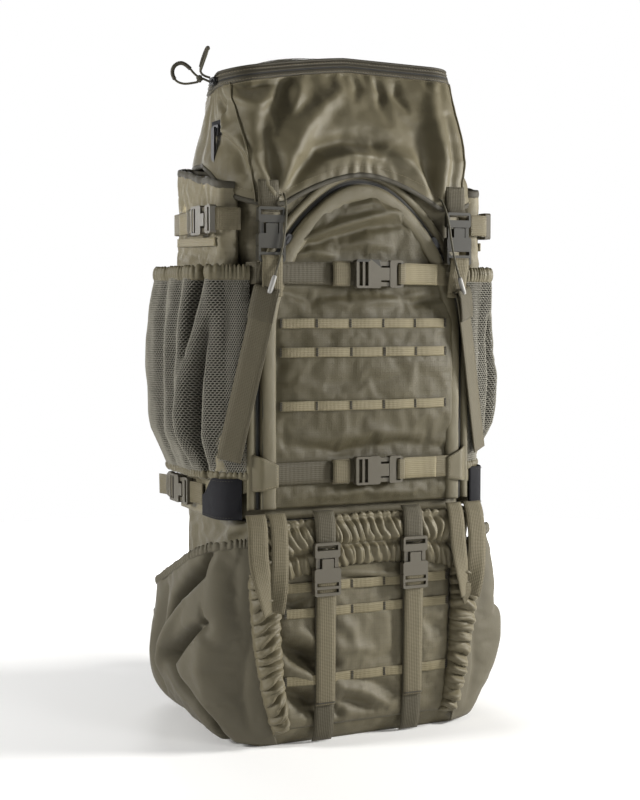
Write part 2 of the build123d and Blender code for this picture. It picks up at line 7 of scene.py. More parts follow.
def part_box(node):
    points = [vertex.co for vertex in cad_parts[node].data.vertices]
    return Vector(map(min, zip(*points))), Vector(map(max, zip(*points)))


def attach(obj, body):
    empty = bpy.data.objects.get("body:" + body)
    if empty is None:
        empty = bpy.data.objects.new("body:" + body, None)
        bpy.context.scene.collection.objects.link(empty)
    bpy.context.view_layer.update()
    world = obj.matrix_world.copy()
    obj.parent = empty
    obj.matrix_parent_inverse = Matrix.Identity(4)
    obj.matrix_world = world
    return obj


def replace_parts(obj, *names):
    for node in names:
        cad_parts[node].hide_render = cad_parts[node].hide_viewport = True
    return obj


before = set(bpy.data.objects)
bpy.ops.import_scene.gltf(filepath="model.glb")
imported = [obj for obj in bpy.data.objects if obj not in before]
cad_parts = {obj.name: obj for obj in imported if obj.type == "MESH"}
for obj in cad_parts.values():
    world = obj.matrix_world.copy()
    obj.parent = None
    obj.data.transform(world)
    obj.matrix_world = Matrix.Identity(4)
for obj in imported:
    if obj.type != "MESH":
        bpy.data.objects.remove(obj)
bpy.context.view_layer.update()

MM = 0.001
SIDES = ((-1, "left"), (1, "right"))
UP, RIGHT, REARWARD = (0, 0, 1), (1, 0, 0), (0, 1, 0)
WEB, TAIL, THIN_TAIL = (23, 1.5), (22.5, 1.5), (22.5, 1.4)  # width and thickness of webbing, in millimetres

# Heights and places that several pieces share, in millimetres.
STRAP_ROWS = (495.0, 287.0)  # the two cross straps
SIDE_ROWS = (550.0, 262.0)  # the straps round the side sleeves
PALS_ROWS, BASE_PALS_ROWS = (443.0, 413.0, 357.0), (168.0, 141.0, 70.0)
PALS_HALF, PALS_CELLS = 96.0, 5
BASE_STRAP_X = 52
BAG_CORNER = 28.0
REAR_HELD = 60  # cloth behind this y is sewn to the back and keeps its place in a simulation
SLEEVE_FOOT, SLEEVE_TOP = 240.0, 584
PATCH_MIDDLE = 261.5


def node_box(name):
    """Lowest and highest corner of a CAD node, in millimetres."""
    low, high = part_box(name)
    return Vector(low) / MM, Vector(high) / MM


BAG_LOW, BAG_HIGH = node_box("main_bag_shell")
BASE_LOW, BASE_HIGH = node_box("base_bag_shell")
LID_LOW, LID_HIGH = node_box("lid_shell")
PANEL_LOW = node_box("front_panel")[0]


# ---- camera, light and floor ----------------------------------------------------------------
def make_camera():
    camera = bpy.data.objects.new("camera", bpy.data.cameras.new("camera"))
    bpy.context.scene.collection.objects.link(camera)
    camera.data.lens, camera.data.sensor_width = 64.9, 36.0
    camera.location = (-0.689, -1.477, 0.457)
    camera.rotation_euler = Euler((radians(90 - 3.57), 0, radians(-25)))
    bpy.context.scene.camera = camera


def area_light(name, place, target, size, power, colour=(1, 1, 1)):
    data = bpy.data.lights.new(name, "AREA")
    data.shape, data.size, data.energy, data.color = "DISK", size, power, colour
    lamp = bpy.data.objects.new(name, data)
    bpy.context.scene.collection.objects.link(lamp)
    lamp.location = place
    lamp.rotation_euler = (Vector(target) - Vector(place)).to_track_quat("-Z", "Y").to_euler()


def make_studio():
    middle = (0, 0, 0.38)
    area_light("key", (1.5, -0.78, 0.72), middle, 0.42, 47, (1.0, 0.985, 0.955))
    area_light("left_side", (-2.1, 0.2, 0.95), middle, 0.5, 42, (1.0, 0.99, 0.97))
    area_light("front_fill", (0.9, -2.2, 1.1), middle, 0.8, 12)
    area_light("back_rim", (0.6, 2.2, 1.6), middle, 1.0, 22)
    area_light("back_fill", (-0.4, 2.4, 0.7), middle, 1.0, 14)
    world = bpy.data.worlds.new("studio")
    world.use_nodes = True
    tree = world.node_tree
    ambient, backdrop = tree.nodes["Background"], tree.nodes.new("ShaderNodeBackground")
    ambient.inputs["Color"].default_value = backdrop.inputs["Color"].default_value = (1, 1, 1, 1)
    ambient.inputs["Strength"].default_value = 0.10
    seen, choose = tree.nodes.new("ShaderNodeLightPath"), tree.nodes.new("ShaderNodeMixShader")
    tree.links.new(seen.outputs["Is Camera Ray"], choose.inputs[0])
    tree.links.new(ambient.outputs[0], choose.inputs[1])
    tree.links.new(backdrop.outputs[0], choose.inputs[2])
    tree.links.new(choose.outputs[0], tree.nodes["World Output"].inputs["Surface"])
    bpy.context.scene.world = world
    bpy.context.scene.view_settings.view_transform = "Standard"
    make_floor()


def make_floor():
    """A pale round floor that glows towards its edge, so that it runs out into the white."""
    reach, sides = 1.6, 96
    turns = [2 * pi * k / sides for k in range(sides)]
    disc = bpy.data.meshes.new("floor")
    rim = [(reach * cos(a), reach * sin(a), 0) for a in turns]
    disc.from_pydata(rim, [], [tuple(range(sides))])
    floor = bpy.data.objects.new("floor", disc)
    bpy.context.scene.collection.objects.link(floor)
    paint = bpy.data.materials.new("floor_paint")
    paint.use_nodes = True
    nodes, links = paint.node_tree.nodes, paint.node_tree.links
    surface = nodes["Principled BSDF"]
    surface.inputs["Base Color"].default_value = (0.9, 0.9, 0.895, 1)
    surface.inputs["Roughness"].default_value = 0.9
    place = nodes.new("ShaderNodeTexCoord")
    away = nodes.new("ShaderNodeVectorMath")
    away.operation = "LENGTH"
    glow = nodes.new("ShaderNodeMapRange")
    glow.interpolation_type = "SMOOTHSTEP"
    glow.inputs["From Min"].default_value, glow.inputs["From Max"].default_value = 0.4, 1.3
    glow.inputs["To Min"].default_value, glow.inputs["To Max"].default_value = 0.06, 1.0
    links.new(place.outputs["Object"], away.inputs[0])
    links.new(away.outputs["Value"], glow.inputs["Value"])
    surface.inputs["Emission Color"].default_value = (1, 1, 1, 1)
    links.new(glow.outputs["Result"], surface.inputs["Emission Strength"])
    floor.data.materials.append(paint)


make_camera()
make_studio()


# ---- materials --------------------------------------------------------------------------------
class Nodes:
    """Adds shader nodes to one material and wires them as they are made."""

    def __init__(self, name):
        self.material = bpy.data.materials.new(name)
        self.material.use_nodes = True
        self.tree = self.material.node_tree
        self.shader = self.tree.nodes["Principled BSDF"]
        self.uv, self.place = (self.add("TexCoord").outputs[kind] for kind in ("UV", "Object"))

    def add(self, kind, settings=(), **inputs):
        made = self.tree.nodes.new("ShaderNode" + kind)
        for key, value in dict(settings).items():
            setattr(made, key, value)
        for key, value in inputs.items():
            numbered = key[0] == "i" and key[1:].isdigit()
            self.put(made.inputs[int(key[1:]) if numbered else key], value)
        return made

    def put(self, socket, value):
        if isinstance(value, bpy.types.NodeSocket):
            self.tree.links.new(value, socket)
        else:
            socket.default_value = value

    def maths(self, operation, a, b=0.0, c=0.0):
        return self.add("Math", {"operation": operation}, i0=a, i1=b, i2=c).outputs[0]

    def mix(self, factor, a, b):
        return self.add("Mix", {"data_type": "RGBA"}, i0=factor, i6=a, i7=b).outputs[2]

    def noise(self, vector, scale, detail=3.0, rough=0.55):
        return self.add("TexNoise", Vector=vector, Scale=scale, Detail=detail,
                        Roughness=rough).outputs["Fac"]

    def ramp(self, factor, low=0.0, high=1.0, start=0.0, end=1.0):
        return self.add("MapRange", i0=factor, i1=low, i2=high, i3=start, i4=end).outputs[0]

    def bump(self, height, strength, distance, normal=None):
        made = self.add("Bump", Strength=strength, Distance=distance, Height=height)
        if normal is not None:
            self.tree.links.new(normal, made.inputs["Normal"])
        return made.outputs["Normal"]

    def finish(self, colour, roughness, normal, **plain):
        self.put(self.shader.inputs["Base Color"], colour)
        self.put(self.shader.inputs["Roughness"], roughness)
        if normal is not None:
            self.put(self.shader.inputs["Normal"], normal)
        for key, value in plain.items():
            self.shader.inputs[key.replace("_", " ")].default_value = value
        return self.material


def shade(colour, factor):
    return (colour[0] * factor, colour[1] * factor, colour[2] * factor, 1.0)


def cloth(name, colour, grid=0.0, roughness=0.62, thread=0.9, sheen=0.05):
    """Coated nylon. UVs are in millimetres: plain weave, and a ripstop grid every 5.5 mm if asked."""
    n = Nodes(name)
    axes = n.add("SeparateXYZ", Vector=n.uv)
    threads = [n.maths("SINE", n.maths("MULTIPLY", axes.outputs[axis], 2 * pi / thread)) for axis in "XY"]
    weave = n.maths("MULTIPLY", threads[0], threads[1])
    blotch = n.noise(n.place, 9.0, 4.0)
    fade = n.noise(n.place, 55.0, 5.0, 0.7)
    tone = n.mix(n.ramp(blotch, 0.32, 0.68), shade(colour, 0.86), shade(colour, 1.16))
    tone = n.mix(n.ramp(fade, 0.2, 0.9), tone, shade(colour, 1.1))
    height = n.maths("MULTIPLY", weave, 0.5)
    if grid:
        for axis in "XY":
            cell = n.maths("FRACT", n.maths("DIVIDE", axes.outputs[axis], 5.5))
            line = n.maths("LESS_THAN", cell, 0.16)
            tone = n.mix(n.maths("MULTIPLY", line, grid), tone, shade(colour, 0.55))
            height = n.maths("ADD", height, n.maths("MULTIPLY", line, 0.8))
    rumple = n.noise(n.place, 38.0, 6.0, 0.62)
    normal = n.bump(rumple, 0.22, 0.004)
    normal = n.bump(height, 0.35, 0.00025, normal)
    rough = n.ramp(fade, start=roughness - 0.08, end=roughness + 0.1)
    plain = {"Sheen_Weight": sheen, "Sheen_Roughness": 0.45, "Specular_IOR_Level": 0.34}
    return n.finish(tone, rough, normal, **plain)


def webbing(name, colour, roughness=0.6):
    """Woven strap: ribs along it, fine picks across it, uneven wear, painted shade in the weave's hollows. UV
    x runs along, y across.
    """
    n = Nodes(name)
    axes = n.add("SeparateXYZ", Vector=n.uv)
    picks = n.maths("SINE", n.maths("MULTIPLY", axes.outputs["X"], 2 * pi / 1.5))
    ribs = n.maths("SINE", n.maths("MULTIPLY", axes.outputs["Y"], 2 * pi / 2.1))
    weave = n.maths("ADD", n.maths("MULTIPLY", picks, 0.5), n.maths("MULTIPLY", ribs, 0.35))
    wear = n.noise(n.place, 26.0, 5.0, 0.7)
    tone = n.mix(n.ramp(wear, 0.3, 0.75), shade(colour, 0.86), shade(colour, 1.14))
    # painted shade: the colour is pulled towards 0.62 of the webbing's colour, fully where the weave is low
    tone = n.mix(n.maths("MULTIPLY", n.ramp(weave, -0.8, 0.2), 0.45), shade(colour, 0.62), tone)
    normal = n.bump(weave, 0.55, 0.0005)
    plain = {"Sheen_Weight": 0.04, "Sheen_Roughness": 0.4, "Specular_IOR_Level": 0.3}
    return n.finish(tone, roughness, normal, **plain)


def moulded(name, colour, roughness, speckle=0.12):
    """Moulded nylon with a fine satin grain and scuffs that catch the light."""
    n = Nodes(name)
    grain = n.noise(n.place, 900.0, 2.0)
    scuff = n.noise(n.place, 70.0, 6.0, 0.75)
    edge = n.ramp(scuff, 0.55, 0.8)
    tone = n.mix(n.maths("MULTIPLY", edge, speckle), shade(colour, 1.0), shade(colour, 1.9))
    rough = n.ramp(scuff, start=roughness - 0.08, end=roughness + 0.12)
    return n.finish(tone, rough, n.bump(grain, 0.25, 0.0002), Specular_IOR_Level=0.5)


def metal(name, colour, roughness):
    n = Nodes(name)
    stretch = n.add("Mapping", Vector=n.place, Scale=(1.0, 1.0, 0.04)).outputs[0]
    brushed = n.noise(stretch, 900.0, 3.0)
    smudge = n.noise(n.place, 60.0, 4.0)
    rough = n.ramp(smudge, start=roughness - 0.06, end=roughness + 0.12)
    tone = n.mix(n.maths("MULTIPLY", brushed, 0.4), shade(colour, 1.1), shade(colour, 0.8))
    return n.finish(tone, rough, n.bump(brushed, 0.1, 0.0001), Metallic=1.0)


OLIVE = (0.098, 0.084, 0.048)
KHAKI = (0.158, 0.134, 0.078)
PACK = cloth("pack_cloth", OLIVE, roughness=0.52)
RIPSTOP = cloth("ripstop_cloth", (0.100, 0.086, 0.051), grid=0.13, roughness=0.56)
PANEL_CLOTH = cloth("panel_cloth", (0.059, 0.049, 0.023), grid=0.13, roughness=0.54)
# the pack cloth made 1.18 times lighter for the puffed gathers on the base: painted light
GATHER_LIT_COPY = cloth("gathered_cloth_painted_lighter", (0.116, 0.099, 0.058), roughness=0.5)
SLEEVE = cloth("sleeve_cloth", (0.150, 0.130, 0.080), grid=0.14, roughness=0.56)
LINING = cloth("lining_cloth", (0.30, 0.255, 0.15), roughness=0.66)
DULL = cloth("base_cloth", (0.082, 0.072, 0.047), roughness=0.66, thread=1.2)
BINDING = cloth("binding_cloth", (0.036, 0.031, 0.019), roughness=0.6)
RIM_CLOTH = cloth("rim_tape", (0.042, 0.036, 0.023), roughness=0.62, thread=1.1)
BACK = cloth("back_cloth", (0.028, 0.028, 0.028), roughness=0.75, thread=1.6)
PATCH = cloth("coated_patch", (0.004, 0.004, 0.006), roughness=0.84, thread=1.3, sheen=0.0)
SPACER = cloth("spacer_mesh", (0.05, 0.048, 0.04), grid=0.5, roughness=0.85, thread=1.8)
# near-black cloth for the sheet inside the mesh pockets: painted shade for the pocket's dark inside
NET_PAINTED_SHADE = cloth("net_painted_shade", (0.030, 0.028, 0.022), roughness=0.85, thread=2.0, sheen=0.0)
STRAP_DARK = webbing("webbing_olive", (0.082, 0.070, 0.041))
# the olive webbing made about 1.37 times lighter for the diagonal straps, whose rolled ends keep the plain
# olive: painted light
STRAP_LIT_COPY = webbing("webbing_olive_painted_lighter", (0.112, 0.096, 0.058))
STRAP = webbing("webbing_khaki", KHAKI)
STRAP_PALE = webbing("webbing_pale", (0.235, 0.200, 0.115))
NET = moulded("net_yarn", (0.150, 0.141, 0.112), 0.65, 0.3)
BUCKLE = moulded("buckle_grey", (0.082, 0.072, 0.051), 0.38)
BUCKLE_OLIVE = moulded("buckle_olive", (0.019, 0.017, 0.010), 0.45)
BLACK = moulded("slider_black", (0.012, 0.012, 0.013), 0.4)
COIL = moulded("zip_coil", (0.010, 0.010, 0.009), 0.78, 0.02)
SHEET = moulded("frame_plastic", (0.035, 0.036, 0.038), 0.45)
ALLOY = metal("stay_alloy", (0.62, 0.63, 0.65), 0.35)
CORD = webbing("cord_sheath", (0.085, 0.077, 0.05), 0.65)
GRIP = moulded("grip_grey", (0.24, 0.235, 0.22), 0.45)
THREAD = moulded("thread", (0.19, 0.16, 0.095), 0.7)
DARK_THREAD = moulded("dark_thread", (0.035, 0.03, 0.02), 0.7)


# ---- mesh tools -------------------------------------------------------------------------------
def piece(name, verts, faces, uvs, material, body="root", slot=None):
    """A mesh piece from millimetre points, with one UV per face corner, also in millimetres."""
    mesh = bpy.data.meshes.new(name)
    mesh.from_pydata([Vector(v) * MM for v in verts], [], faces)
    layer = mesh.uv_layers.new(name="UVMap")
    corners = [uv for face in uvs for uv in face]
    for corner, uv in zip(layer.data, corners):
        corner.uv = uv
    mesh.polygons.foreach_set("use_smooth", [True] * len(mesh.polygons))
    mesh.materials.append(material)
    made = bpy.data.objects.new(name, mesh)
    bpy.context.scene.collection.objects.link(made)
    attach(made, body)
    return made


def grid(name, columns, rows, at, size, material, body="root", slot="pack_cloth", wrap=False, flip=False):
    """A cloth surface: at(u, v) is its point in millimetres, for u and v from 0 to 1."""
    count = columns if wrap else columns + 1
    verts = [at(i / columns, j / rows) for j in range(rows + 1) for i in range(count)]
    faces, uvs = [], []
    for j in range(rows):
        for i in range(columns):
            after = (i + 1) % count
            face = [j * count + i, j * count + after, (j + 1) * count + after, (j + 1) * count + i]
            places = ((i, j), (i + 1, j), (i + 1, j + 1), (i, j + 1))
            uv = [(a * size[0] / columns, b * size[1] / rows) for a, b in places]
            faces.append(face[::-1] if flip else face)
            uvs.append(uv[::-1] if flip else uv)
    made = piece(name, verts, faces, uvs, material, body, slot)
    made["columns"], made["rows"], made["count"] = columns, rows, count
    return made


def on(surface, u, v, lift=0.0):
    """The point of a finished grid at (u, v), lifted off it along its normal, in millimetres."""
    columns, rows, count = surface["columns"], surface["rows"], surface["count"]
    x, y = min(max(u, 0.0), 1.0) * columns, min(max(v, 0.0), 1.0) * rows
    i, j = min(int(x), columns - 1), min(int(y), rows - 1)
    fx, fy = x - i, y - j
    mesh = surface.data
    total, normal = Vector(), Vector()
    for di, dj in ((0, 0), (1, 0), (0, 1), (1, 1)):
        weight = (fx if di else 1 - fx) * (fy if dj else 1 - fy)
        vertex = mesh.vertices[(j + dj) * count + (i + di) % count]
        total += vertex.co * weight
        normal += vertex.normal * weight
    return total / MM + normal.normalized() * lift


def thicken(made, thickness, offset=-1.0):
    solid = made.modifiers.new("thickness", "SOLIDIFY")
    solid.thickness, solid.offset = thickness * MM, offset
    return made


def smooth(made, levels=1):
    subdivision = made.modifiers.new("smooth", "SUBSURF")
    subdivision.levels = subdivision.render_levels = levels
    return made


def relax(made, held, grow=0.03, pressure=0.0, cap=6.0, frames=16, bend=0.4):
    """Runs the piece as cloth that is a little larger than its place, so that it buckles into
    folds between the points that held(point) keeps. The move of each point is capped."""
    group = made.vertex_groups.new(name="held")
    start = [vertex.co.copy() for vertex in made.data.vertices]
    for index, point in enumerate(start):
        group.add([index], held(point / MM), "REPLACE")
    sim = made.modifiers.new("Cloth", "CLOTH")
    settings = sim.settings
    settings.quality, settings.mass = 5, 0.25
    settings.tension_stiffness = settings.compression_stiffness = 30
    settings.shear_stiffness, settings.bending_stiffness = 10, bend
    settings.shrink_min, settings.shrink_max = -grow, -grow
    settings.vertex_group_mass = "held"
    settings.use_pressure = pressure > 0
    settings.uniform_pressure_force = pressure
    settings.effector_weights.gravity = 0
    sim.collision_settings.use_collision = False
    sim.collision_settings.use_self_collision = False
    sim.point_cache.frame_start, sim.point_cache.frame_end = 1, frames
    scene = bpy.context.scene
    for step in range(1, frames + 1):
        scene.frame_set(step)
    settled = made.evaluated_get(bpy.context.evaluated_depsgraph_get())
    moved = [vertex.co.copy() for vertex in settled.data.vertices]
    made.modifiers.remove(sim)
    scene.frame_set(1)
    for vertex, before, after in zip(made.data.vertices, start, moved):
        shift = after - before
        limit = cap * MM
        if shift.length > limit:
            shift *= limit / shift.length
        vertex.co = before + shift
    made.data.update()
    return made


def softened(points, passes=2):
    """Cuts a route's corners, keeping its ends."""
    points = [Vector(p) for p in points]
    for _ in range(passes):
        inner = []
        for a, b in zip(points, points[1:]):
            inner += [a.lerp(b, 0.25), a.lerp(b, 0.75)]
        points = [points[0]] + inner[1:-1] + [points[-1]]
    return points


def resampled(points, step):
    """The same route in even steps, with the distance along it."""
    lengths = [0.0]
    for a, b in zip(points, points[1:]):
        lengths.append(lengths[-1] + (b - a).length)
    count = max(2, round(lengths[-1] / step))
    result, leg = [], 0
    for k in range(count + 1):
        want = lengths[-1] * k / count
        while leg < len(points) - 2 and lengths[leg + 1] < want:
            leg += 1
        run = lengths[leg + 1] - lengths[leg]
        result.append((want, points[leg].lerp(points[leg + 1], (want - lengths[leg]) / run if run else 0)))
    return result


FLAT = [(-1, -0.35), (-0.97, -1), (-0.5, -1), (0, -1), (0.5, -1), (0.97, -1), (1, -0.35)]
WEB_SECTION = FLAT + [(-x, -y) for x, y in FLAT]
ROUND = [(cos(2 * pi * k / 12), sin(2 * pi * k / 12)) for k in range(12)]


def pad_section(power=0.55, steps=28):
    """A crowned pad, thin at its two seams."""
    turn = [2 * pi * k / steps for k in range(steps)]
    return [(cos(a), copysign(abs(sin(a)) ** power, sin(a))) for a in turn]


def swept(name, path, across, width, thick, material, body="root", slot="webbing", section=WEB_SECTION,
          step=3.0, passes=2, shape=None):
    """Webbing, binding or padding along a route. across is its width's direction, or one per point
    of the way from 0 to 1. shape(t, a, b) changes the section: it gives new (a, b) for t along."""
    route = resampled(softened(path, passes), step)
    total = route[-1][0] or 1.0
    verts, faces, uvs = [], [], []
    count = len(section)
    for k, (distance, point) in enumerate(route):
        before, after = route[max(k - 1, 0)][1], route[min(k + 1, len(route) - 1)][1]
        along = (after - before).normalized()
        t = distance / total
        side = Vector(across(t) if callable(across) else across)
        side = (side - along * side.dot(along)).normalized()
        up = side.cross(along)
        for a, b in section:
            a, b = a * width / 2, b * thick / 2
            if shape:
                a, b = shape(t, a, b)
            verts.append(point + side * a + up * b)
    for k in range(len(route) - 1):
        for i in range(count):
            j = (i + 1) % count
            faces.append((k * count + i, (k + 1) * count + i, (k + 1) * count + j, k * count + j))
            s0, s1 = route[k][0], route[k + 1][0]
            a0, a1 = section[i][0] * width / 2, section[j][0] * width / 2
            uvs.append([(s0, a0), (s1, a0), (s1, a1), (s0, a1)])
    last = (len(route) - 1) * count
    faces += [tuple(range(count)), tuple(last + i for i in reversed(range(count)))]
    flat = [(a * width / 2, b * thick / 2) for a, b in section]
    uvs += [flat, flat[::-1]]
    return piece(name, verts, faces, uvs, material, body, slot)


def joined(pieces, name):
    """Joins pieces that share a body into the first one."""
    with bpy.context.temp_override(active_object=pieces[0], selected_editable_objects=pieces):
        bpy.ops.object.join()
    pieces[0].name = name
    return pieces[0]


def stitches(name, lines, material=THREAD, body="root", pitch=3.3, stitch=2.2, radius=0.32):
    """Rows of separate thread stitches along lines of millimetre points."""
    verts, faces, uvs = [], [], []
    for line in lines:
        route = resampled([Vector(p) for p in line], pitch)
        for (_, a), (_, b) in zip(route, route[1:]):
            along = (b - a).normalized()
            side = along.orthogonal().normalized()
            up = along.cross(side)
            first = len(verts)
            for reach, size in ((0, 0.4), (0.5, 1.0), (1, 0.4)):
                centre = a + along * stitch * reach
                for k in range(4):
                    turn = pi / 2 * k
                    verts.append(centre + (side * cos(turn) + up * sin(turn)) * radius * size)
            for ring in (0, 4):
                for k in range(4):
                    j = (k + 1) % 4
                    faces.append((first + ring + k, first + ring + 4 + k, first + ring + 4 + j,
                                  first + ring + j))
            faces += [tuple(first + k for k in range(4)), tuple(first + 8 + k for k in (3, 2, 1, 0))]
            uvs += [[(0, 0)] * 4] * 10
    return piece(name, verts, faces, uvs, material, body, "webbing")


def ripple(scale, seed, *place):
    """Smooth noise from -1 to 1 at a millimetre place."""
    return noise.noise(Vector(place).to_3d() / scale + Vector((seed, seed * 0.7, seed * 1.3)))


def fold(s, z, start, end, width, height):
    """Height at (s, z) of one fold, narrow at its start and fading out wide at its end."""
    run = (end[0] - start[0], end[1] - start[1])
    length = hypot(*run)
    t = ((s - start[0]) * run[0] + (z - start[1]) * run[1]) / length**2
    if not 0 < t < 1:
        return 0.0
    off = ((s - start[0]) * run[1] - (z - start[1]) * run[0]) / length
    off += 2.5 * ripple(22, start[0], s, z)
    return height * sin(pi * t**0.6) * exp(-((off / (width * (0.3 + t))) ** 2))


def crease(s, z, route, width, height):
    """Height at (s, z) of one fold along a route, thin at both its ends."""
    nearest, place, run = 1e9, 0.0, 0.0
    for a, b in zip(route, route[1:]):
        leg = (b[0] - a[0], b[1] - a[1])
        length = hypot(*leg)
        t = ((s - a[0]) * leg[0] + (z - a[1]) * leg[1]) / length**2
        t = min(max(t, 0.0), 1.0)
        off = hypot(s - a[0] - t * leg[0], z - a[1] - t * leg[1])
        if off < nearest:
            nearest, place = off, run + t * length
        run += length
    if nearest > 2.6 * width:
        return 0.0
    taper = sin(pi * min(max(place / run, 0.04), 0.96)) ** 0.5
    return height * taper * exp(-((nearest / (width * (0.45 + 0.55 * taper))) ** 2))


def ease(value, low, high):
    t = min(max((value - low) / (high - low), 0.0), 1.0)
    return t * t * (3 - 2 * t)


def steps(value, table):
    """Straight-line interpolation in a short table of (value, result)."""
    for (a, fa), (b, fb) in zip(table, table[1:]):
        if value <= b:
            return fa + (fb - fa) * max(value - a, 0) / (b - a)
    return table[-1][1]


class Plan:
    """A rounded rectangle seen from above, walked from the middle of its front by the distance s:
    negative to the left, positive to the right."""

    def __init__(self, half, front, rear, front_corner, rear_corner, centre=0.0):
        self.half, self.front, self.rear, self.centre = half, front, rear, centre
        self.corners = (front_corner, rear_corner)
        quarter = pi / 2
        side = rear - front - front_corner - rear_corner
        self.legs = (half - front_corner, front_corner * quarter, side, rear_corner * quarter,
                     half - rear_corner)
        self.reach = sum(self.legs)

    def at(self, s, front=None, rear=None, out=0.0):
        front = self.front if front is None else front
        rear = self.rear if rear is None else rear
        near, far = self.corners
        side, left, leg = copysign(1, s), min(abs(s), self.reach), 0
        while leg < 4 and left > self.legs[leg]:
            left -= self.legs[leg]
            leg += 1
        t = min(left / self.legs[leg], 1.0)
        turn = t * pi / 2
        if leg == 0:
            x, y, nx, ny = t * (self.half - near), front, 0, -1
        elif leg == 1:
            nx, ny = sin(turn), -cos(turn)
            x, y = self.half - near + near * nx, front + near + near * ny
        elif leg == 2:
            x, y, nx, ny = self.half, front + near + t * (rear - far - front - near), 1, 0
        elif leg == 3:
            nx, ny = cos(turn), sin(turn)
            x, y = self.half - far + far * nx, rear - far + far * ny
        else:
            x, y, nx, ny = (self.half - far) * (1 - t), rear, 0, 1
        return self.centre + side * (x + nx * out), y + ny * out


def wall(name, plan, columns, rows, low, high, out, material, body="root", slot="pack_cloth", front=None,
         rear=None):
    """A cloth wall round a plan. low, high and out are functions of s, of s, and of (s, z)."""

    def at(u, v):
        s = (u - 0.5) * 2 * plan.reach
        z = low(s) + (high(s) - low(s)) * v
        x, y = plan.at(s, front(z) if front else None, rear(z) if rear else None, out(s, z))
        return (x, y, z)

    size = (2 * plan.reach, high(0) - low(0))
    return grid(name, columns, rows, at, size, material, body, slot, wrap=True)


def on_wall(surface, plan, s, v, lift=0.0):
    return on(surface, s / (2 * plan.reach) + 0.5, v, lift)


def bound(name, surface, plan, half_steps, v, lift, width, thick, step, body="root", slot="webbing"):
    """Binding or piping all the way round a wall, at v of its height."""
    edge = [on_wall(surface, plan, plan.reach * (k / half_steps - 1), v, lift)
            for k in range(2 * half_steps + 1)]
    return swept(name, edge, UP, width, thick, BINDING, body, slot, ROUND, step, 0)


# ---- cords: first, because their places decide how far the object reaches ---------------------
RIM_CORD_A = (
    (-0.1439, -0.0328, 0.6974), (-0.1502, -0.0296, 0.7005), (-0.1575, -0.0262, 0.7040),
    (-0.1638, -0.0233, 0.7130), (-0.1711, -0.0199, 0.7180), (-0.1783, -0.0165, 0.7140),
    (-0.1801, -0.0157, 0.7060), (-0.1765, -0.0174, 0.6980), (-0.1693, -0.0207, 0.6950),
    (-0.1620, -0.0241, 0.6956), (-0.1548, -0.0275, 0.6972),
)
RIM_CORD_B = (
    (-0.1434, -0.0330, 0.7016), (-0.1486, -0.0314, 0.7026), (-0.1538, -0.0296, 0.7070),
    (-0.1520, -0.0306, 0.7170), (-0.1492, -0.0318, 0.7260), (-0.1476, -0.0360, 0.7320),
    (-0.1486, -0.0418, 0.7310), (-0.1514, -0.0436, 0.7235), (-0.1544, -0.0410, 0.7140),
    (-0.1558, -0.0364, 0.7065),
)
HEM_CORD = (
    (0.0920, -0.1086, 0.5760), (0.0925, -0.1125, 0.5745), (0.0935, -0.1180, 0.5660),
    (0.0955, -0.1230, 0.5500), (0.0985, -0.1236, 0.5280), (0.1030, -0.1238, 0.5080),
    (0.1085, -0.1236, 0.4920),
)
CORD_SIZE = 0.0024


def cord_line(name, points, body, node):
    """A cord as one smooth spline with the route's points as its control points."""
    curve = bpy.data.curves.new(name, "CURVE")
    curve.dimensions = "3D"
    spline = curve.splines.new("NURBS")
    spline.points.add(len(points) - 1)
    for control, point in zip(spline.points, points):
        control.co = (*point, 1.0)
    spline.order_u = 3
    spline.use_endpoint_u = True
    spline.resolution_u = 8
    line = bpy.data.objects.new(name, curve)
    bpy.context.scene.collection.objects.link(line)
    sampled = bpy.data.meshes.new_from_object(line)
    route = [vertex.co / MM for vertex in sampled.vertices]
    curve.bevel_depth, curve.bevel_resolution = CORD_SIZE / 2, 4
    curve.materials.append(CORD)
    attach(line, body)
    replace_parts(line, node)
    return line, route


def barrel(t, a, b):
    narrow = 1 - 0.25 * abs(2 * t - 1) ** 6
    return a * narrow, b * narrow


def make_cords():
    for name, points, length in (("rim_pull_cord_a", RIM_CORD_A, 0.084),
                                 ("rim_pull_cord_b", RIM_CORD_B, 0.069)):
        line, route = cord_line(name + "_line", points, "rim_slider", name)
        sleeve = route[len(route) // 4: len(route) * 7 // 10]
        grip = swept(name + "_sheath", sleeve, (0.3, 0.9, 0.1), 4.2, 4.2, BINDING, "rim_slider", "cord",
                     ROUND, 1.2)
        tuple(points[0])
    knot = grid("rim_cord_knot", 20, 14, knot_point, (20, 14), CORD, "rim_slider", "cord", wrap=True)
    smooth(knot)
    for side, word in SIDES:
        points = [(side * x, y, z) for x, y, z in HEM_CORD]
        line, _ = cord_line(f"hem_cord_{word}_line", points, "lid", f"hem_cord_{word}")
        end, before = Vector(points[-1]) / MM, Vector(points[-2]) / MM
        tip = end + (end - before).normalized() * 19
        tube = swept(f"hem_cord_grip_{word}", [end, tip], RIGHT, 5.2, 5.2, GRIP, "lid", "cord", ROUND, 1.5,
                     shape=barrel)
        if side < 0:
            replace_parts(tube, "hem_cord_grips")
        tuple(points[0])


def knot_point(u, v):
    """Lumpy overhand knot where the two loops cross."""
    turn, lift = 2 * pi * u, pi * v
    radius = 3.4 + 0.9 * sin(3 * turn + 5 * lift)
    ring = sin(lift)
    return (
        -154.2 + radius * ring * cos(turn),
        -30.0 + radius * ring * sin(turn),
        700.2 + radius * cos(lift),
    )


make_cords()


# ---- upper bag --------------------------------------------------------------------------------
BAG = Plan(BAG_HIGH.x, BAG_LOW.y, BAG_HIGH.y, BAG_CORNER, BAG_CORNER)
MOUTH_FOOT = 574  # the bag is drawn in above this, under the lid


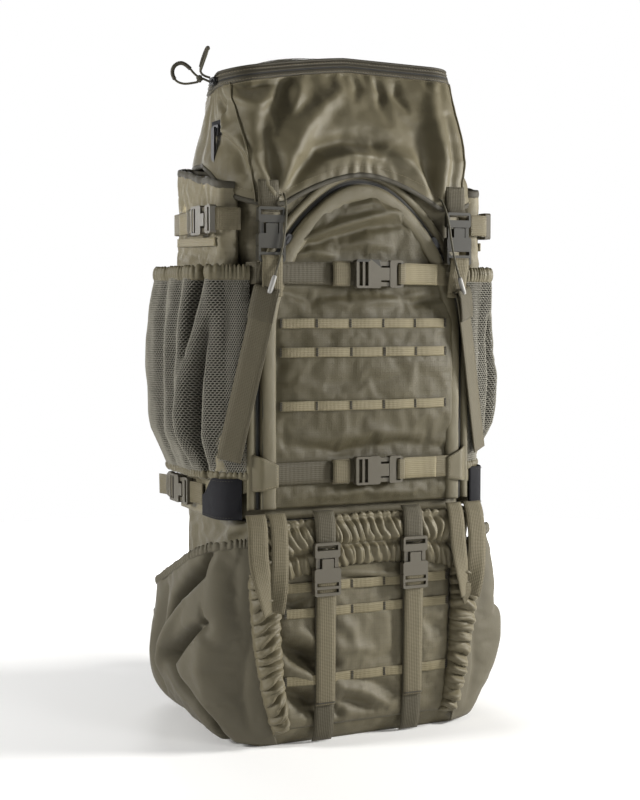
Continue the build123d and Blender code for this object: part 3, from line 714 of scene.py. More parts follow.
def bag_out(s, z):
    """How far the bag's cloth stands out: full between the cross straps, loose small folds."""
    front = 1 - ease(abs(s), 110, 150)
    belly = 3.5 * sin(pi * ease(z, 300, 480)) * (1 - front)
    behind_panel = -9 * ease(100 - abs(s), 0, 10) * ease(z, 252, 266) * ease(560 - z, 0, 14)
    drawn_in = -13 * ease(z, MOUTH_FOOT, 600)
    return belly * 0.4 + 1.2 * ripple(34, 3, s, z, 0) + 0.6 * ripple(13, 5, s, z, 0) + behind_panel + drawn_in


def make_bag():
    body = wall("bag_body", BAG, 190, 70, lambda s: BAG_LOW.z, lambda s: BAG_HIGH.z, bag_out, RIPSTOP)
    relax(body, lambda p: 1.0 if p.y > REAR_HELD or p.z > 590 or p.z < 250 else 0.25, grow=0.012, cap=2.5,
          bend=5)
    thicken(body, 1.2)
    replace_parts(body, "main_bag_shell")
    bound("bag_mouth_binding", body, BAG, 60, 1.0, -0.5, 11, 3.2, 5)
    divider_low, divider_high = node_box("compartment_divider")
    half, front, rear = divider_high.x - 3.5, divider_low.y + 4, divider_high.y - 4

    def sag(u, v):
        x, y = (u * 2 - 1) * half, front + (rear - front) * v
        drop = 2.0 * sin(pi * u) * sin(pi * v)
        return (x, y, divider_high.z - 1 - drop + 0.8 * ripple(28, 7, x, y, 0))

    floor = grid("divider_cloth", 60, 44, sag, (2 * half, rear - front), DULL)
    thicken(floor, 0.8)
    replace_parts(floor, "compartment_divider")


# ---- arch-shaped front panel with its flap and zip ----------------------------------------------
ARCH_R, ARCH_DX, ARCH_Z = 184.0, 66.0, 426.0
PEAK_ROUND = 44.0  # half width over which the arch's peak is rounded
PANEL_FACE = PANEL_LOW.y
PANEL_INSET = 7  # how far inside the zip the panel's cloth ends


def arch_point(t, grow=0.0):
    """A point of the arch, from its left foot at t 0 over the peak at 0.5 to its right foot at 1."""
    radius = ARCH_R + grow
    top = acos(ARCH_DX / radius)
    straight, curve = ARCH_Z - PANEL_LOW.z, radius * top
    along = (t if t <= 0.5 else 1 - t) * 2 * (straight + curve)
    side = -1 if t <= 0.5 else 1
    if along < straight:
        return side * (radius - ARCH_DX), PANEL_LOW.z + along
    turn = (along - straight) / radius
    x = radius * cos(turn) - ARCH_DX
    return side * x, ARCH_Z + arch_rise(x, radius)


def arch_rise(x, radius):
    """Height of the arch over its springing at x, with the point of its peak rounded off."""
    x = abs(x)
    if x >= PEAK_ROUND:
        return sqrt(max(radius**2 - (x + ARCH_DX) ** 2, 0))
    rim = sqrt(radius**2 - (PEAK_ROUND + ARCH_DX) ** 2)
    slope = (PEAK_ROUND + ARCH_DX) / rim
    return rim + slope * (PEAK_ROUND**2 - x**2) / (2 * PEAK_ROUND)


def arch_half(z, grow):
    """Half width of the arch at a height."""
    radius = ARCH_R + grow
    if z <= ARCH_Z:
        return radius - ARCH_DX
    rise, peak = z - ARCH_Z, arch_rise(0, radius)
    if rise < arch_rise(PEAK_ROUND, radius):
        return sqrt(radius**2 - rise**2) - ARCH_DX
    return PEAK_ROUND * sqrt(max((peak - rise) / (peak - arch_rise(PEAK_ROUND, radius)), 0))


PANEL_FOLDS = (
    (((-70, 530), (-30, 545), (10, 556), (46, 562)), 6.0, 7.0),
    (((-78, 518), (-40, 532), (4, 543), (50, 548)), 5.5, -6.0),
    (((-20, 562), (8, 570), (40, 560)), 5.0, 4.5),
    (((-84, 514), (-62, 518), (-34, 514)), 5.0, 5.0),
    (((-30, 522), (0, 528), (34, 524)), 5.0, 3.4),
    (((-60, 470), (-20, 464), (30, 468), (80, 474)), 6.0, 4.0),
    (((-96, 476), (-60, 468), (-20, 474)), 5.0, -3.6),
    (((20, 476), (60, 466), (96, 470)), 5.0, -3.6),
    (((-98, 330), (-50, 322), (10, 328), (70, 322)), 7.0, 3.6),
    (((-90, 316), (-30, 308), (40, 314), (98, 308)), 6.0, -3.8),
    (((-80, 388), (-30, 380), (30, 384)), 9.0, -2.6),
    (((-104, 440), (-98, 400), (-102, 350)), 6.0, -4.0),
    (((-60, 262), (0, 266), (60, 260)), 6.0, 3.0),
)


def panel_out(x, z):
    """Outward swell of the front panel: pinched by the two cross straps, puckered near its peak."""
    side = 1 - (abs(x) / 112) ** 4
    full = 4.6 * sin(pi * ease(z, 300, 484)) ** 0.7 if 300 < z < 484 else 0.0
    full += 3.4 * sin(pi * ease(z, 508, 590)) if 508 < z < 590 else 0.0
    full += 2.4 * sin(pi * ease(z, 250, 276)) if 250 < z < 276 else 0.0
    swell = full * max(side, 0)
    swell += 6.5 * max(1 - ((x - 30) / 122) ** 2, 0) * ease(z, 304, 350) * ease(484 - z, 0, 50)
    swell += sum(crease(x, z, *each) for each in PANEL_FOLDS)
    for row in (433, 398, 344):
        swell += 1.4 * ripple(30, row, x, z, 0) * exp(-(((z - row + 8) / 12) ** 2))
    swell += 0.9 * ripple(26, 11, x, z, 0) + 0.5 * ripple(11, 12, x, z, 0)
    tight = min(abs(z - STRAP_ROWS[0]), abs(z - STRAP_ROWS[1]))
    return swell * ease(tight, 9, 18) + 0.3


def panel_face(x, z):
    return PANEL_FACE - panel_out(x, z)


def make_front_panel():
    top = ARCH_Z + arch_rise(0, ARCH_R - PANEL_INSET) - 0.5

    def at(u, v):
        z = PANEL_LOW.z + (top - PANEL_LOW.z) * v
        half = arch_half(z, -PANEL_INSET)
        x = (u * 2 - 1) * half
        edge = max(1 - (half - abs(x)) / 6, 0) ** 2
        return (x, panel_face(x, z) + edge * 4.5, z)

    panel = grid("front_panel_cloth", 90, 130, at, (222, 350), PANEL_CLOTH)

    def held(p):
        rim = arch_half(p.z, -PANEL_INSET) - abs(p.x) < 8
        strap = min(abs(p.z - row) for row in STRAP_ROWS) < 16
        rows = min(abs(p.z - row) for row in PALS_ROWS) < 7
        return 1.0 if rim or strap or rows or p.z < PANEL_LOW.z + 6 else 0.12

    relax(panel, held, grow=0.006, cap=2.4, bend=14)
    thicken(panel, 1.5)
    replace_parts(panel, "front_panel")

    def band(name, inner, outer, base, height, material, puff=0.5, ribs=0.0):
        """A strip along the arch between two offsets, crowned like a folded flap."""

        def strip(u, v):
            grow = inner + (outer - inner) * v
            x, z = arch_point(u, grow)
            crown = max(1 - (2 * v - 1) ** 2, 0) ** puff
            y = base - height * crown - 0.5 * ripple(16, 21, x, z, 0) * crown
            if ribs:
                y -= ribs * abs(sin(u * 1100))
            return (x, y, z)

        size = (1000, outer - inner)
        return grid(name, 360, 10, strip, size, material, flip=True)

    flap = band("front_zip_flap", -17, -0.6, -106.2, 3.8, PACK, 0.35)
    thicken(flap, 1.0)
    tape = band("front_zip_tape_cloth", -5.6, 6.0, -102.4, 0.9, BINDING, 0.3)
    thicken(tape, 0.8)
    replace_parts(tape, "front_zip_tape")
    coil = band("front_zip_coil", 0.2, 3.6, -102.6, 1.0, COIL, 0.5, 0.35)
    thicken(coil, 0.6)
    edge = band("front_zip_welt", 5.0, 13.0, -102.6, 2.6, PACK, 0.45)
    thicken(edge, 0.8)
    lines = []
    for grow, y in ((-2.2, -108.6), (-16.4, -107.6)):
        lines.append([(x, y, z) for x, z in (arch_point(k / 120, grow) for k in range(121))])
    stitches("front_flap_stitching", lines)
    swept("front_flap_piping", lines[0], REARWARD, 2.2, 2.2, BINDING, section=ROUND, step=4, passes=0)


# ---- rows of PALS webbing ---------------------------------------------------------------------
def pals_row(name, z, face):
    """Webbing tacked down at even spaces, standing off a little between the tacks."""
    pitch, bows = 2 * PALS_HALF / PALS_CELLS, 6
    points = []
    for k in range(PALS_CELLS * bows + 1):
        x = -PALS_HALF + k * pitch / bows
        loose = sin(pi * (k % bows) / bows)
        points.append((x, face(x, z) - 0.9 - 1.5 * loose, z + 0.7 * loose * ripple(40, z, x, 0)))
    row = swept(name, points, UP, 10.2, 1.1, STRAP_PALE, step=2.5, passes=1)
    tacks = []
    for k in range(PALS_CELLS + 1):
        x = -PALS_HALF + k * pitch
        for shift in (-1.0, 0.0, 1.0):
            tacks.append([(x + shift, face(x, z) - 1.9, z - 4.6 + 9.2 * j / 3) for j in range(4)])
    stitches(name + "_tacks", tacks, DARK_THREAD, pitch=2.6, stitch=2.5, radius=0.45)
    return row


# ---- webbing across the front, with keepers and folded tails -----------------------------------
def level(z, *points):
    """A route at one height, through (x, y) points."""
    return [(x, y, z) for x, y in points]


def upright(x, *points):
    """A route in the plane at x, through (y, z) points."""
    return [(x, y, z) for y, z in points]


def keeper(name, x, y, z, width=20.0, height=25.5, depth=5.0):
    """A rolled keeper: a loop of webbing round a strap."""
    ring = [(0, -1), (0.5, -0.94), (0.92, -0.7), (1, 0), (0.92, 0.7), (0.5, 0.94), (0, 1), (-0.5, 0.94),
            (-1, 0.6), (-1, -0.6), (-0.5, -0.94), (0, -1)]
    points = upright(x, *((y - depth / 2 * (1 + a), z + b * height / 2) for a, b in ring))
    return swept(name, points, RIGHT, width, 1.6, STRAP, step=2, passes=1)


def make_cross_straps():
    half, face = node_box("cross_strap_webbing")[1].x, -111.2
    for name, z in zip(("upper", "lower"), STRAP_ROWS):
        left = level(z, (-half + 0.8, -90), (-half + 0.8, -104), (-half + 8, face - 0.4), (-70, face - 0.2),
                     (-18, face), (-14, face - 3.4), (-5.5, face - 5.6), (2, face - 3.4))
        run = swept(f"cross_strap_{name}_left", left, UP, *WEB, STRAP_DARK)
        if name == "upper":
            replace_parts(run, "cross_strap_webbing")
        keeper(f"cross_keeper_{name}", -29, face + 0.4, z)
        right = level(z, (40, face - 5.2), (48, face - 3.6), (58, face - 1.2), (100, face - 0.4),
                      (half - 8, face), (half - 0.8, -104), (half - 0.8, -90))
        swept(f"cross_strap_{name}_right", right, UP, *WEB, STRAP)
        tail = [(43, face - 6.4, z + 0.5), (52, face - 5.2, z + 0.5), (64, face - 3.0, z + 0.3),
                (86, face - 2.6, z)]
        swept(f"cross_tail_{name}", tail, UP, *TAIL, STRAP_PALE)
        loop = level(z, (39, face - 5), (36.3, face - 6.8), (36.7, face - 8.4), (39.7, face - 8.6),
                     (44.5, face - 7.4))
        swept(f"cross_plug_web_{name}", loop, UP, 21.5, 1.3, STRAP, "cross_plug_" + name, step=1.5)


def make_strap_wings():
    """Triangular tabs that carry the ends of the lower cross strap."""
    z = STRAP_ROWS[1]
    outline = [(0.08, 0.05), (0.94, 0.08), (0.94, 0.92), (0.08, 0.95), (0.08, 0.05)]
    for side, word in SIDES:

        def at(u, v):
            x = side * (134.5 - 34 * u)
            height = 45 - 22 * u
            edge = max(1 - min(u, 1 - u, v, 1 - v) / 0.08, 0)
            bend = ease(x * side, 116, 134)
            y = -113.2 + 13 * bend + 0.8 * edge + 0.7 * ripple(18, 31 * side, x, v * 40, 0)
            return (x, y, z + 3 - 5 * u + (v - 0.5) * height)

        tab = grid(f"strap_wing_{word}", 26, 24, at, (40, 45), PACK, flip=side > 0)
        thicken(tab, 1.8, 0.0)
        lines = []
        for a, b in zip(outline, outline[1:]):
            places = (Vector(a).lerp(Vector(b), k / 8) for k in range(9))
            lines.append([on(tab, u, v, 1.0) for u, v in places])
        stitches(f"strap_wing_stitches_{word}", lines)


def make_diagonal_strap(side, word):
    """Diagonal compression strap, its upper end folded over into a roll."""
    top, foot = Vector((side * 115, -117.6, 476)), Vector((side * 150, -98.5, 302))
    path = [top + Vector((0, 4, -1)), top, top.lerp(foot, 0.3) + Vector((0, -1, 0)), top.lerp(foot, 0.7),
            foot]
    facing = Vector((side * 0.55, -0.83, 0))
    across = facing.cross(foot - top).normalized()
    # the strap's run takes the lighter copy of the olive webbing, its roll the plain olive: painted light on
    # the run
    strap = swept(f"diagonal_strap_{word}", path, across, 26, 1.7, STRAP_LIT_COPY)
    if side < 0:
        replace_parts(strap, "diagonal_straps")
    along, out = (foot - top).normalized(), facing.normalized()
    turns = ((30, 2.2), (26, 3.4), (6, 4.4), (-3, 3.2), (-4.5, 0.6), (-2, -1.6))
    roll = [top + along * down + out * lift for down, lift in turns]
    swept(f"diagonal_roll_{word}", roll, across, 27.5, 2.0, STRAP_DARK, step=2)


def make_gear_loops(side, word):
    """Two hanging loops at each end of the cuff; the right pair has a short tab at its foot."""
    loops = []
    for number, top_x, mid_x, foot_x, width in ((-1, 128.5, 130.0, 118.0, 22.0),
                                                (1, 105.0, 105.5, 113.0, 19.0)):
        points = [(side * top_x, -118, 247), (side * top_x, -125.6, 236), (side * mid_x, -129.6, 200),
                  (side * (mid_x + foot_x) / 2, -133.4, 168), (side * foot_x, -133.0, 147)]

        def turned(t, number=number):
            turn = ease(t, 0.45, 1.0)
            return Vector((1, 0.5 * side * number * turn, -0.3 * side * number * turn))

        loops.append(swept(f"gear_loop_{word}_{number}", points, turned, width, 1.5, STRAP))
    if side > 0:
        tab = [(114, -132.4, 160), (113, -133.4, 150), (112, -132.4, 137)]
        loops.append(swept("gear_loop_tab", tab, RIGHT, 21, 1.5, STRAP, step=1.5,
                           shape=lambda t, a, b: (a * (1 - 0.9 * t), b)))
    loop = joined(loops, f"gear_loop_{word}")
    if side < 0:
        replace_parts(loop, "gear_loops")


def make_base_straps(side, word):
    """A strap down the front of the base: its upper end, its run and its sewn tail."""
    x = side * BASE_STRAP_X
    top = upright(x, (-117.4, 247), (-122.4, 243), (-125.2, 232), (-125.4, 218), (-126.8, 207),
                  (-127.6, 212))
    upper = swept(f"base_strap_top_{word}", top, RIGHT, *WEB, STRAP_DARK)
    run = upright(x, (-126.4, 176), (-123.6, 168), (-122.8, 120), (-122.4, 40), (-118.6, 8), (-114, 2.2))
    swept(f"base_strap_long_{word}", run, RIGHT, *WEB, STRAP_DARK)
    tail = upright(x, (-129.6, 181), (-129.0, 170), (-126.4, 150), (-125.4, 90), (-124.6, 42))
    swept(f"base_strap_tail_{word}", tail, RIGHT, *TAIL, STRAP)
    hem = [(x - 11, -125.9, 44.5), (x + 11, -125.9, 44.5)]
    swept(f"base_strap_hem_{word}", hem, UP, 1.2, 0.8, DARK_THREAD, section=ROUND)
    if side < 0:
        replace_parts(upper, "base_strap_webbing")


# ---- base compartment --------------------------------------------------------------------------
BASE = Plan(BASE_HIGH.x, BASE_LOW.y, BASE_HIGH.y, BAG_CORNER, BAG_CORNER)
BASE_SIDE_FOLDS = (
    (((138, 236), (160, 226), (196, 216)), 5.0, 3.6),
    (((136, 226), (158, 216), (184, 204)), 5.0, -4.0),
    (((140, 214), (170, 206), (214, 206)), 6.0, 3.2),
    (((230, 240), (206, 228), (180, 222)), 6.0, -2.6),
    (((134, 200), (134, 150), (132, 90)), 5.0, -3.0),
)


def base_out(s, z):
    tuck = -9 * (1 - ease(z, 0, 26)) ** 2
    behind_panel = -26 * ease(98 - abs(s), 0, 10) * ease(z, 22, 36) * ease(188 - z, 0, 12)
    shoulder = sum(crease(abs(s), z, *each) for each in BASE_SIDE_FOLDS)
    return tuck + behind_panel + shoulder + 1.4 * ripple(36, 41, s, z, 0) + 0.7 * ripple(14, 42, s, z, 0)


def make_base():
    body = wall("base_body", BASE, 200, 56, lambda s: 0.6, lambda s: BASE_HIGH.z + 3, base_out, PACK)
    relax(body, lambda p: 1.0 if p.y > REAR_HELD or p.z > 228 or p.z < 12 else 0.3, grow=0.012, cap=2.5,
          bend=5)
    thicken(body, 1.4)
    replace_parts(body, "base_bag_shell")

    def floor_at(u, v):
        s = (u - 0.5) * 2 * BASE.reach
        x, y = BASE.at(s, out=-9)
        middle = (0.0, (BASE.front + BASE.rear) / 2)
        return (middle[0] + (x - middle[0]) * v, middle[1] + (y - middle[1]) * v, 0.3 + 0.5 * v**4)

    floor = grid("base_floor_cloth", 120, 24, floor_at, (700, 100), DULL, wrap=True, flip=True)
    thicken(floor, 1.2, 1.0)
    bound("base_seam_piping", body, BASE, 70, 0.12, 0.3, 2.6, 2.6, 4)


BASE_PANEL_FACE = node_box("base_front_panel")[0].y
BASE_PANEL_FOLDS = (
    (((-102, 112), (-84, 100), (-62, 90), (-40, 84)), 9.0, -22.0),
    (((-100, 128), (-76, 118), (-46, 104), (0, 96)), 8.0, 5.0),
    (((-100, 64), (-80, 52), (-60, 42), (-34, 30)), 9.0, -18.0),
    (((-96, 88), (-70, 74), (-44, 62), (-10, 54)), 8.0, 6.0),
    (((-34, 44), (-16, 40), (8, 30)), 6.0, -7.0),
    (((-30, 58), (0, 48), (26, 32)), 6.0, 4.5),
    (((-4, 62), (20, 54), (40, 44)), 6.0, -4.0),
    (((-102, 158), (-86, 150), (-70, 156)), 6.0, -8.0),
    (((-40, 184), (0, 178), (52, 172)), 5.0, 5.0),
    (((-36, 176), (4, 170), (40, 164)), 4.5, -4.0),
    (((66, 184), (84, 176), (102, 178)), 5.0, 4.0),
    (((-36, 132), (-20, 118), (-14, 100)), 7.0, 3.4),
    (((30, 130), (36, 100), (30, 80)), 8.0, -2.8),
    (((66, 124), (82, 112), (98, 108)), 7.0, -3.0),
)


def base_panel_out(x, z):
    side = max(1 - (abs(x) / 104) ** 4, 0)
    swell = 3.2 * side * sin(pi * ease(z, 24, 186)) ** 0.6
    swell += sum(crease(x, z, *each) for each in BASE_PANEL_FOLDS)
    swell += 1.2 * ripple(24, 51, x, z, 0) + 0.6 * ripple(10, 52, x, z, 0)
    return swell


def base_face(x, z):
    return BASE_PANEL_FACE - max(0.5 * base_panel_out(x, z), 0.0)


def make_base_front():
    def at(u, v):
        half = 103.0
        x = (u * 2 - 1) * half
        z = 18 + 172 * v
        edge = max(1 - min(1 - abs(u * 2 - 1), 2 * v, 1.4 * (1 - v)) / 0.12, 0) ** 2
        out = base_panel_out(x, z) * (1 - 0.5 * exp(-(((abs(x) - BASE_STRAP_X) / 13) ** 4)))
        return (x, BASE_PANEL_FACE - out + 4 * edge, z)

    panel = grid("base_panel_cloth", 84, 66, at, (206, 172), RIPSTOP)

    def held(p):
        rows = min(abs(p.z - row) for row in BASE_PALS_ROWS) < 7
        strap = abs(abs(p.x) - BASE_STRAP_X) < 14
        return 1.0 if rows or strap or abs(p.x) > 95 or p.z < 26 or p.z > 182 else 0.15

    relax(panel, held, grow=0.006, cap=2.0, bend=14)
    thicken(panel, 1.4)
    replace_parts(panel, "base_front_panel")
    ruffled_cuff()


def gathers(distance, across, pitch, seed):
    """Puffs of elastic gathering with sharp hollows between: uneven, slanting and broken up."""
    slant = across * 0.3 + 5.0 * ripple(24, seed, distance, across, 0)
    turn = pi * (distance + slant) / pitch + 1.5 * ripple(30, seed + 2, distance, across, 0)
    puff = abs(sin(turn)) ** 0.7
    second = abs(sin(turn * 1.9 + 2.0 * ripple(18, seed + 5, distance, across, 0))) ** 0.6
    return 1.5 * puff + 0.5 * second - 1.3 + 0.5 * ripple(7, seed + 4, distance, across * 0.5, 0)


def ruffle(name, path, across, width, depth, pitch, seed, rows, seams=(), pressed=()):
    """A puffed, gathered strip of cloth along a route. width(u) is its width, seams are shirring
    lines across it, and pressed are the x of straps that hold it down."""
    route = resampled(softened(path, 2), 1.6)
    total = route[-1][0]

    def at(u, v):
        index = min(int(u * (len(route) - 1)), len(route) - 2)
        t = u * (len(route) - 1) - index
        point = route[index][1].lerp(route[index + 1][1], t)
        along = (route[index + 1][1] - route[index][1]).normalized()
        side = Vector(across)
        side = (side - along * side.dot(along)).normalized()
        up = Vector((0, -1, 0))
        span = v * 2 - 1
        wide = width(u)
        dome = max(1 - span**2, 0) ** 0.5
        for strap in pressed:
            dome *= 1 - 0.62 * exp(-(((point.x - strap) / 14) ** 4))
        for seam in seams:
            dome *= 1 - 0.75 * exp(-(((v - seam) / 0.06) ** 2))
        ridge = gathers(u * total, span * wide / 2, pitch, seed)
        shift = 1.1 * ripple(9, seed + 9, u * total, span * 3, 0)
        tip = (1 - abs(2 * u - 1) ** 14) ** 0.5
        lift = dome * (depth + 0.55 * depth * ridge) * tip
        aside = side * (span * wide / 2 * (1 + 0.05 * ridge) + shift)
        return point + aside + up * lift + along * 1.2 * ridge * dome

    # the gathers take the lighter copy of the pack cloth: painted light
    made = grid(name, len(route) * 2, rows, at, (total, 40), GATHER_LIT_COPY)
    return thicken(made, 1.0, 0.0)


def ruffled_cuff():
    top = ruffle(
        "base_cuff_gathers",
        [(-124, -116.2, 200), (-96, -116.4, 206), (-50, -116.6, 213), (0, -116.8, 216), (60, -116.6, 214),
         (122, -116.2, 206)],
        UP, lambda u: 54 + 16 * abs(2 * u - 1) ** 3, 7.2, 9.5, 61, rows=34, seams=(0.42, 0.9),
        pressed=(-BASE_STRAP_X, BASE_STRAP_X),
    )
    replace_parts(top, "base_front_cuff")
    for side, word in SIDES:
        path = [(side * 119, -118, 186), (side * 118, -118.4, 140), (side * 114, -118, 92),
                (side * 107, -117.2, 50), (side * 99, -115.5, 16)]
        ruffle(f"base_side_gathers_{word}", path, (-side, 0, 0), lambda u: 34 - 15 * u**1.6, 10.5, 12.0,
               71 + side, rows=20)


# ---- side sleeves, mesh pockets and base pockets -----------------------------------------------
def make_sleeve(side, word):
    low, high = node_box(f"side_sleeve_{word}")
    plan = Plan((high.x - low.x) / 2, low.y, high.y, 10.5, 10.5, centre=(low.x + high.x) / 2)

    def top(s):
        rise = (plan.at(s)[1] - low.y) / (high.y - low.y)
        return SLEEVE_TOP + rise * (high.z - SLEEVE_TOP) + 2.0 * ripple(16, 81, s, 0, 0)

    def out(s, z):
        outer = 1.0 if (s < 0) == (side < 0) else 0.2
        wrinkle = 1.1 * ripple(30, 82, s, z, 0) + 0.7 * ripple(12, 83, s, z, 0)
        pinch = -1.4 * sum(exp(-(((z - row) / 16) ** 2)) for row in SIDE_ROWS)
        return outer * (wrinkle + pinch) - 0.4

    def held(p):
        strapped = min(abs(p.z - row) for row in SIDE_ROWS) < 14
        return 1.0 if abs(p.x) < 136 or p.z < SLEEVE_FOOT + 10 or strapped else 0.2

    body = wall(f"sleeve_{word}", plan, 110, 80, lambda s: SLEEVE_FOOT, top, out, SLEEVE)
    relax(body, held, grow=0.03, cap=1.8)
    thicken(body, 1.2)
    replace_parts(body, f"side_sleeve_{word}")
    bound(f"sleeve_binding_{word}", body, plan, 40, 1.0, -0.4, 8, 2.6, 4)

    def lining(u, v):
        s = (u - 0.5) * 2 * plan.reach
        x, y = plan.at(s, out=-2.2)
        return (x, y, top(s) - 40 * (1 - v) - 1.0)

    inner = grid(f"sleeve_lining_{word}", 90, 8, lining, (280, 40), LINING, wrap=True, flip=True)
    thicken(inner, 0.6)


def pocket_edge(a, span, back_x, bulge, corner):
    """Plan of a bowed pocket: a from 0 at the front edge, round the outside, to 1 at the rear edge."""
    front, rear = span
    quarter = corner * pi / 2
    side = bulge - corner
    legs = (side, quarter, rear - front - 2 * corner, quarter, side)
    left = a * sum(legs)
    for leg, length in enumerate(legs):
        if left <= length or leg == 4:
            break
        left -= length
    t = min(left / length, 1.0) if length else 0.0
    turn = t * pi / 2
    if leg == 0:
        return back_x + t * side, front, 0, -1
    if leg == 1:
        return back_x + side + corner * sin(turn), front + corner - corner * cos(turn), sin(turn), -cos(turn)
    if leg == 2:
        return back_x + bulge, front + corner + t * length, 1, 0
    if leg == 3:
        return back_x + side + corner * cos(turn), rear - corner + corner * sin(turn), cos(turn), sin(turn)
    return back_x + side * (1 - t), rear, 0, 1


MESH_GIRTH, BASE_GIRTH = 285.0, 284.0
MESH_FOLDS = (
    (((58, 520), (64, 486), (72, 440), (76, 412)), 7.5, -19),
    (((42, 448), (50, 412), (57, 370), (62, 320), (60, 280)), 8.0, -20),
    (((46, 520), (40, 470), (32, 420)), 9.0, 7),
    (((70, 400), (80, 350), (84, 300)), 10.0, 7),
    (((14, 520), (24, 450), (28, 400)), 7.0, -7),
    (((34, 360), (20, 318), (8, 300)), 8.0, 5),
    (((98, 500), (104, 400), (96, 300)), 12.0, -9),
    (((150, 500), (140, 400), (150, 300)), 14.0, -8),
)
BASE_FOLDS = (
    (((52, 204), (64, 186), (102, 164), (134, 140), (157, 104)), 8.0, -30),
    (((50, 132), (88, 112), (132, 82), (108, 62), (82, 48), (58, 28), (50, 6)), 9.0, -33),
    (((96, 150), (120, 124), (148, 96), (166, 60)), 8.0, 9),
    (((44, 186), (38, 140), (50, 84), (40, 40)), 15.0, 10),
    (((58, 150), (50, 128), (42, 112)), 6.0, -7),
    (((4, 130), (18, 96), (27, 60), (24, 24)), 5.0, -9),
    (((24, 200), (28, 160), (24, 120)), 6.0, -6),
    (((170, 150), (186, 90), (170, 40)), 12.0, -10),
)


def corner_face(plan, x):
    """Front face of a bag at x, round its front corner."""
    radius = plan.corners[0]
    past = min(max(abs(x) - plan.half + radius, 0.0), radius * 0.995)
    return plan.front + radius - sqrt(radius**2 - past**2)


def mesh_pocket_at(side, low, high):
    span, back_x, bulge = (BAG_LOW.y + 2.5, high.y - 1), 133.0, 62.0

    def at(a, v):
        z = low.z + 1 + (high.z - low.z - 4) * v
        x, y, nx, ny = pocket_edge(a, span, back_x, bulge, 58.0)
        depth = (x - back_x) / bulge
        belly = 0.64 + 0.36 * sin(pi * (0.06 + 0.86 * v)) ** 0.6
        belly = min(belly, 0.5 + 1.6 * v + 0.1)
        deep = sum(crease(a * MESH_GIRTH, z, *each) for each in MESH_FOLDS)
        out = deep * min(depth * 1.6, 1.0) + 2.0 * ripple(26, 91, a * 300, z, 0)
        lean = 1 - 0.14 * (1 - v)
        inset = x - back_x
        x = back_x + inset * belly + nx * out * min(1, inset / 10)
        y = y * lean + ny * out * 0.6
        wrap = max(1 - a * MESH_GIRTH / 44, 0) ** 1.2
        rest_x = max(x, 158.6) if y < 43 else x
        x = rest_x + (128.5 - rest_x) * wrap
        y += (BAG.front - 2.0 - y) * wrap
        if abs(x) < BAG.half:
            y = min(y, corner_face(BAG, x) - 2.2)
        return (side * x, y, z)

    return at


def hex_net(name, at, width, height, pitch, thread):
    """A knitted net as real threads: hexagons laid on the surface and turned into wire."""
    step_u, step_v = pitch / width, pitch * 0.866 / height
    keys, verts = {}, []

    def vertex(u, v):
        key = (round(u / step_u * 12), round(v / step_v * 12))
        if key not in keys:
            keys[key] = len(verts)
            verts.append(at(min(max(u, 0), 1), min(max(v, 0), 1)))
        return keys[key]

    faces, uvs = [], []
    rows, columns = int(1 / step_v), int(1 / step_u)
    for j in range(rows):
        for i in range(columns):
            u0, v0 = (i + 0.5 * (j % 2) + 0.5) * step_u, (j + 0.5) * step_v
            ring = [(0, 2 / 3), (-0.5, 1 / 3), (-0.5, -1 / 3), (0, -2 / 3), (0.5, -1 / 3), (0.5, 1 / 3)]
            face = [vertex(u0 + a * step_u, v0 + b * step_v) for a, b in ring]
            if len(set(face)) == 6:
                faces.append(face)
                uvs.append([(0, 0)] * 6)
    made = piece(name, verts, faces, uvs, NET, slot="mesh")
    wire = made.modifiers.new("threads", "WIREFRAME")
    wire.thickness, wire.use_even_offset, wire.use_replace = thread * MM, False, True
    return made


def gathered_hem(name, at, v_line, depth, height, count, seed, material):
    """The gathered elastic top of a pocket, as a ruffled tube that follows the pocket's edge."""

    def strip(u, v):
        turn = 2 * pi * v
        wave = sin(2 * pi * count * u + 2.5 * ripple(0.09, seed, u, 0, 0))
        gather = 1.5 * abs(wave) ** 0.7 - 0.9 + 0.7 * ripple(0.025, seed + 1, u, 0, 0)
        x, y, z = at(u, v_line)
        x1, y1, _ = at(min(u + 0.01, 1), v_line)
        x0, y0, _ = at(max(u - 0.01, 0), v_line)
        along = Vector((x1 - x0, y1 - y0, 0)).normalized()
        out = Vector((along.y, -along.x, 0))
        if out.dot(Vector((x, y, 0))) < 0:
            out = -out
        radius = depth * (1 + 0.55 * gather)
        rise = height * (1 + 0.16 * gather)
        return Vector((x, y, z)) + out * radius * cos(turn) + Vector((0, 0, rise * sin(turn) + 1.3 * gather))

    return grid(name, count * 12, 14, strip, (300, 30), material)


def make_mesh_pocket(side, word):
    low, high = node_box(f"mesh_pocket_{word}")
    at = mesh_pocket_at(side, low, high)
    net = hex_net(f"mesh_net_{word}", at, MESH_GIRTH, high.z - low.z, 2.8, 1.35)

    def behind(u, v):
        x, y, z = at(u, v)
        x1, y1, _ = at(min(u + 0.01, 1.0), v)
        x0, y0, _ = at(max(u - 0.01, 0.0), v)
        inward = Vector((y0 - y1, x1 - x0, 0)).normalized() * side
        return Vector((x, y, z)) + inward * 2.4

    # a dark sheet 2.4 mm inside the net: painted shade, standing for the shaded inside of the pocket seen
    # through the net
    painted_shade_sheet = grid(f"mesh_painted_shade_{word}", 150, 90, behind, (MESH_GIRTH, 260), NET_PAINTED_SHADE, slot="mesh")
    thicken(painted_shade_sheet, 0.4, 0.0)
    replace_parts(net, f"mesh_pocket_{word}")
    gathered_hem(f"mesh_hem_{word}", at, 1.0, 2.6, 7.5, 26, 101, PACK)
    gathered_hem(f"mesh_foot_{word}", at, 0.0, 2.2, 4.0, 22, 103, PACK)


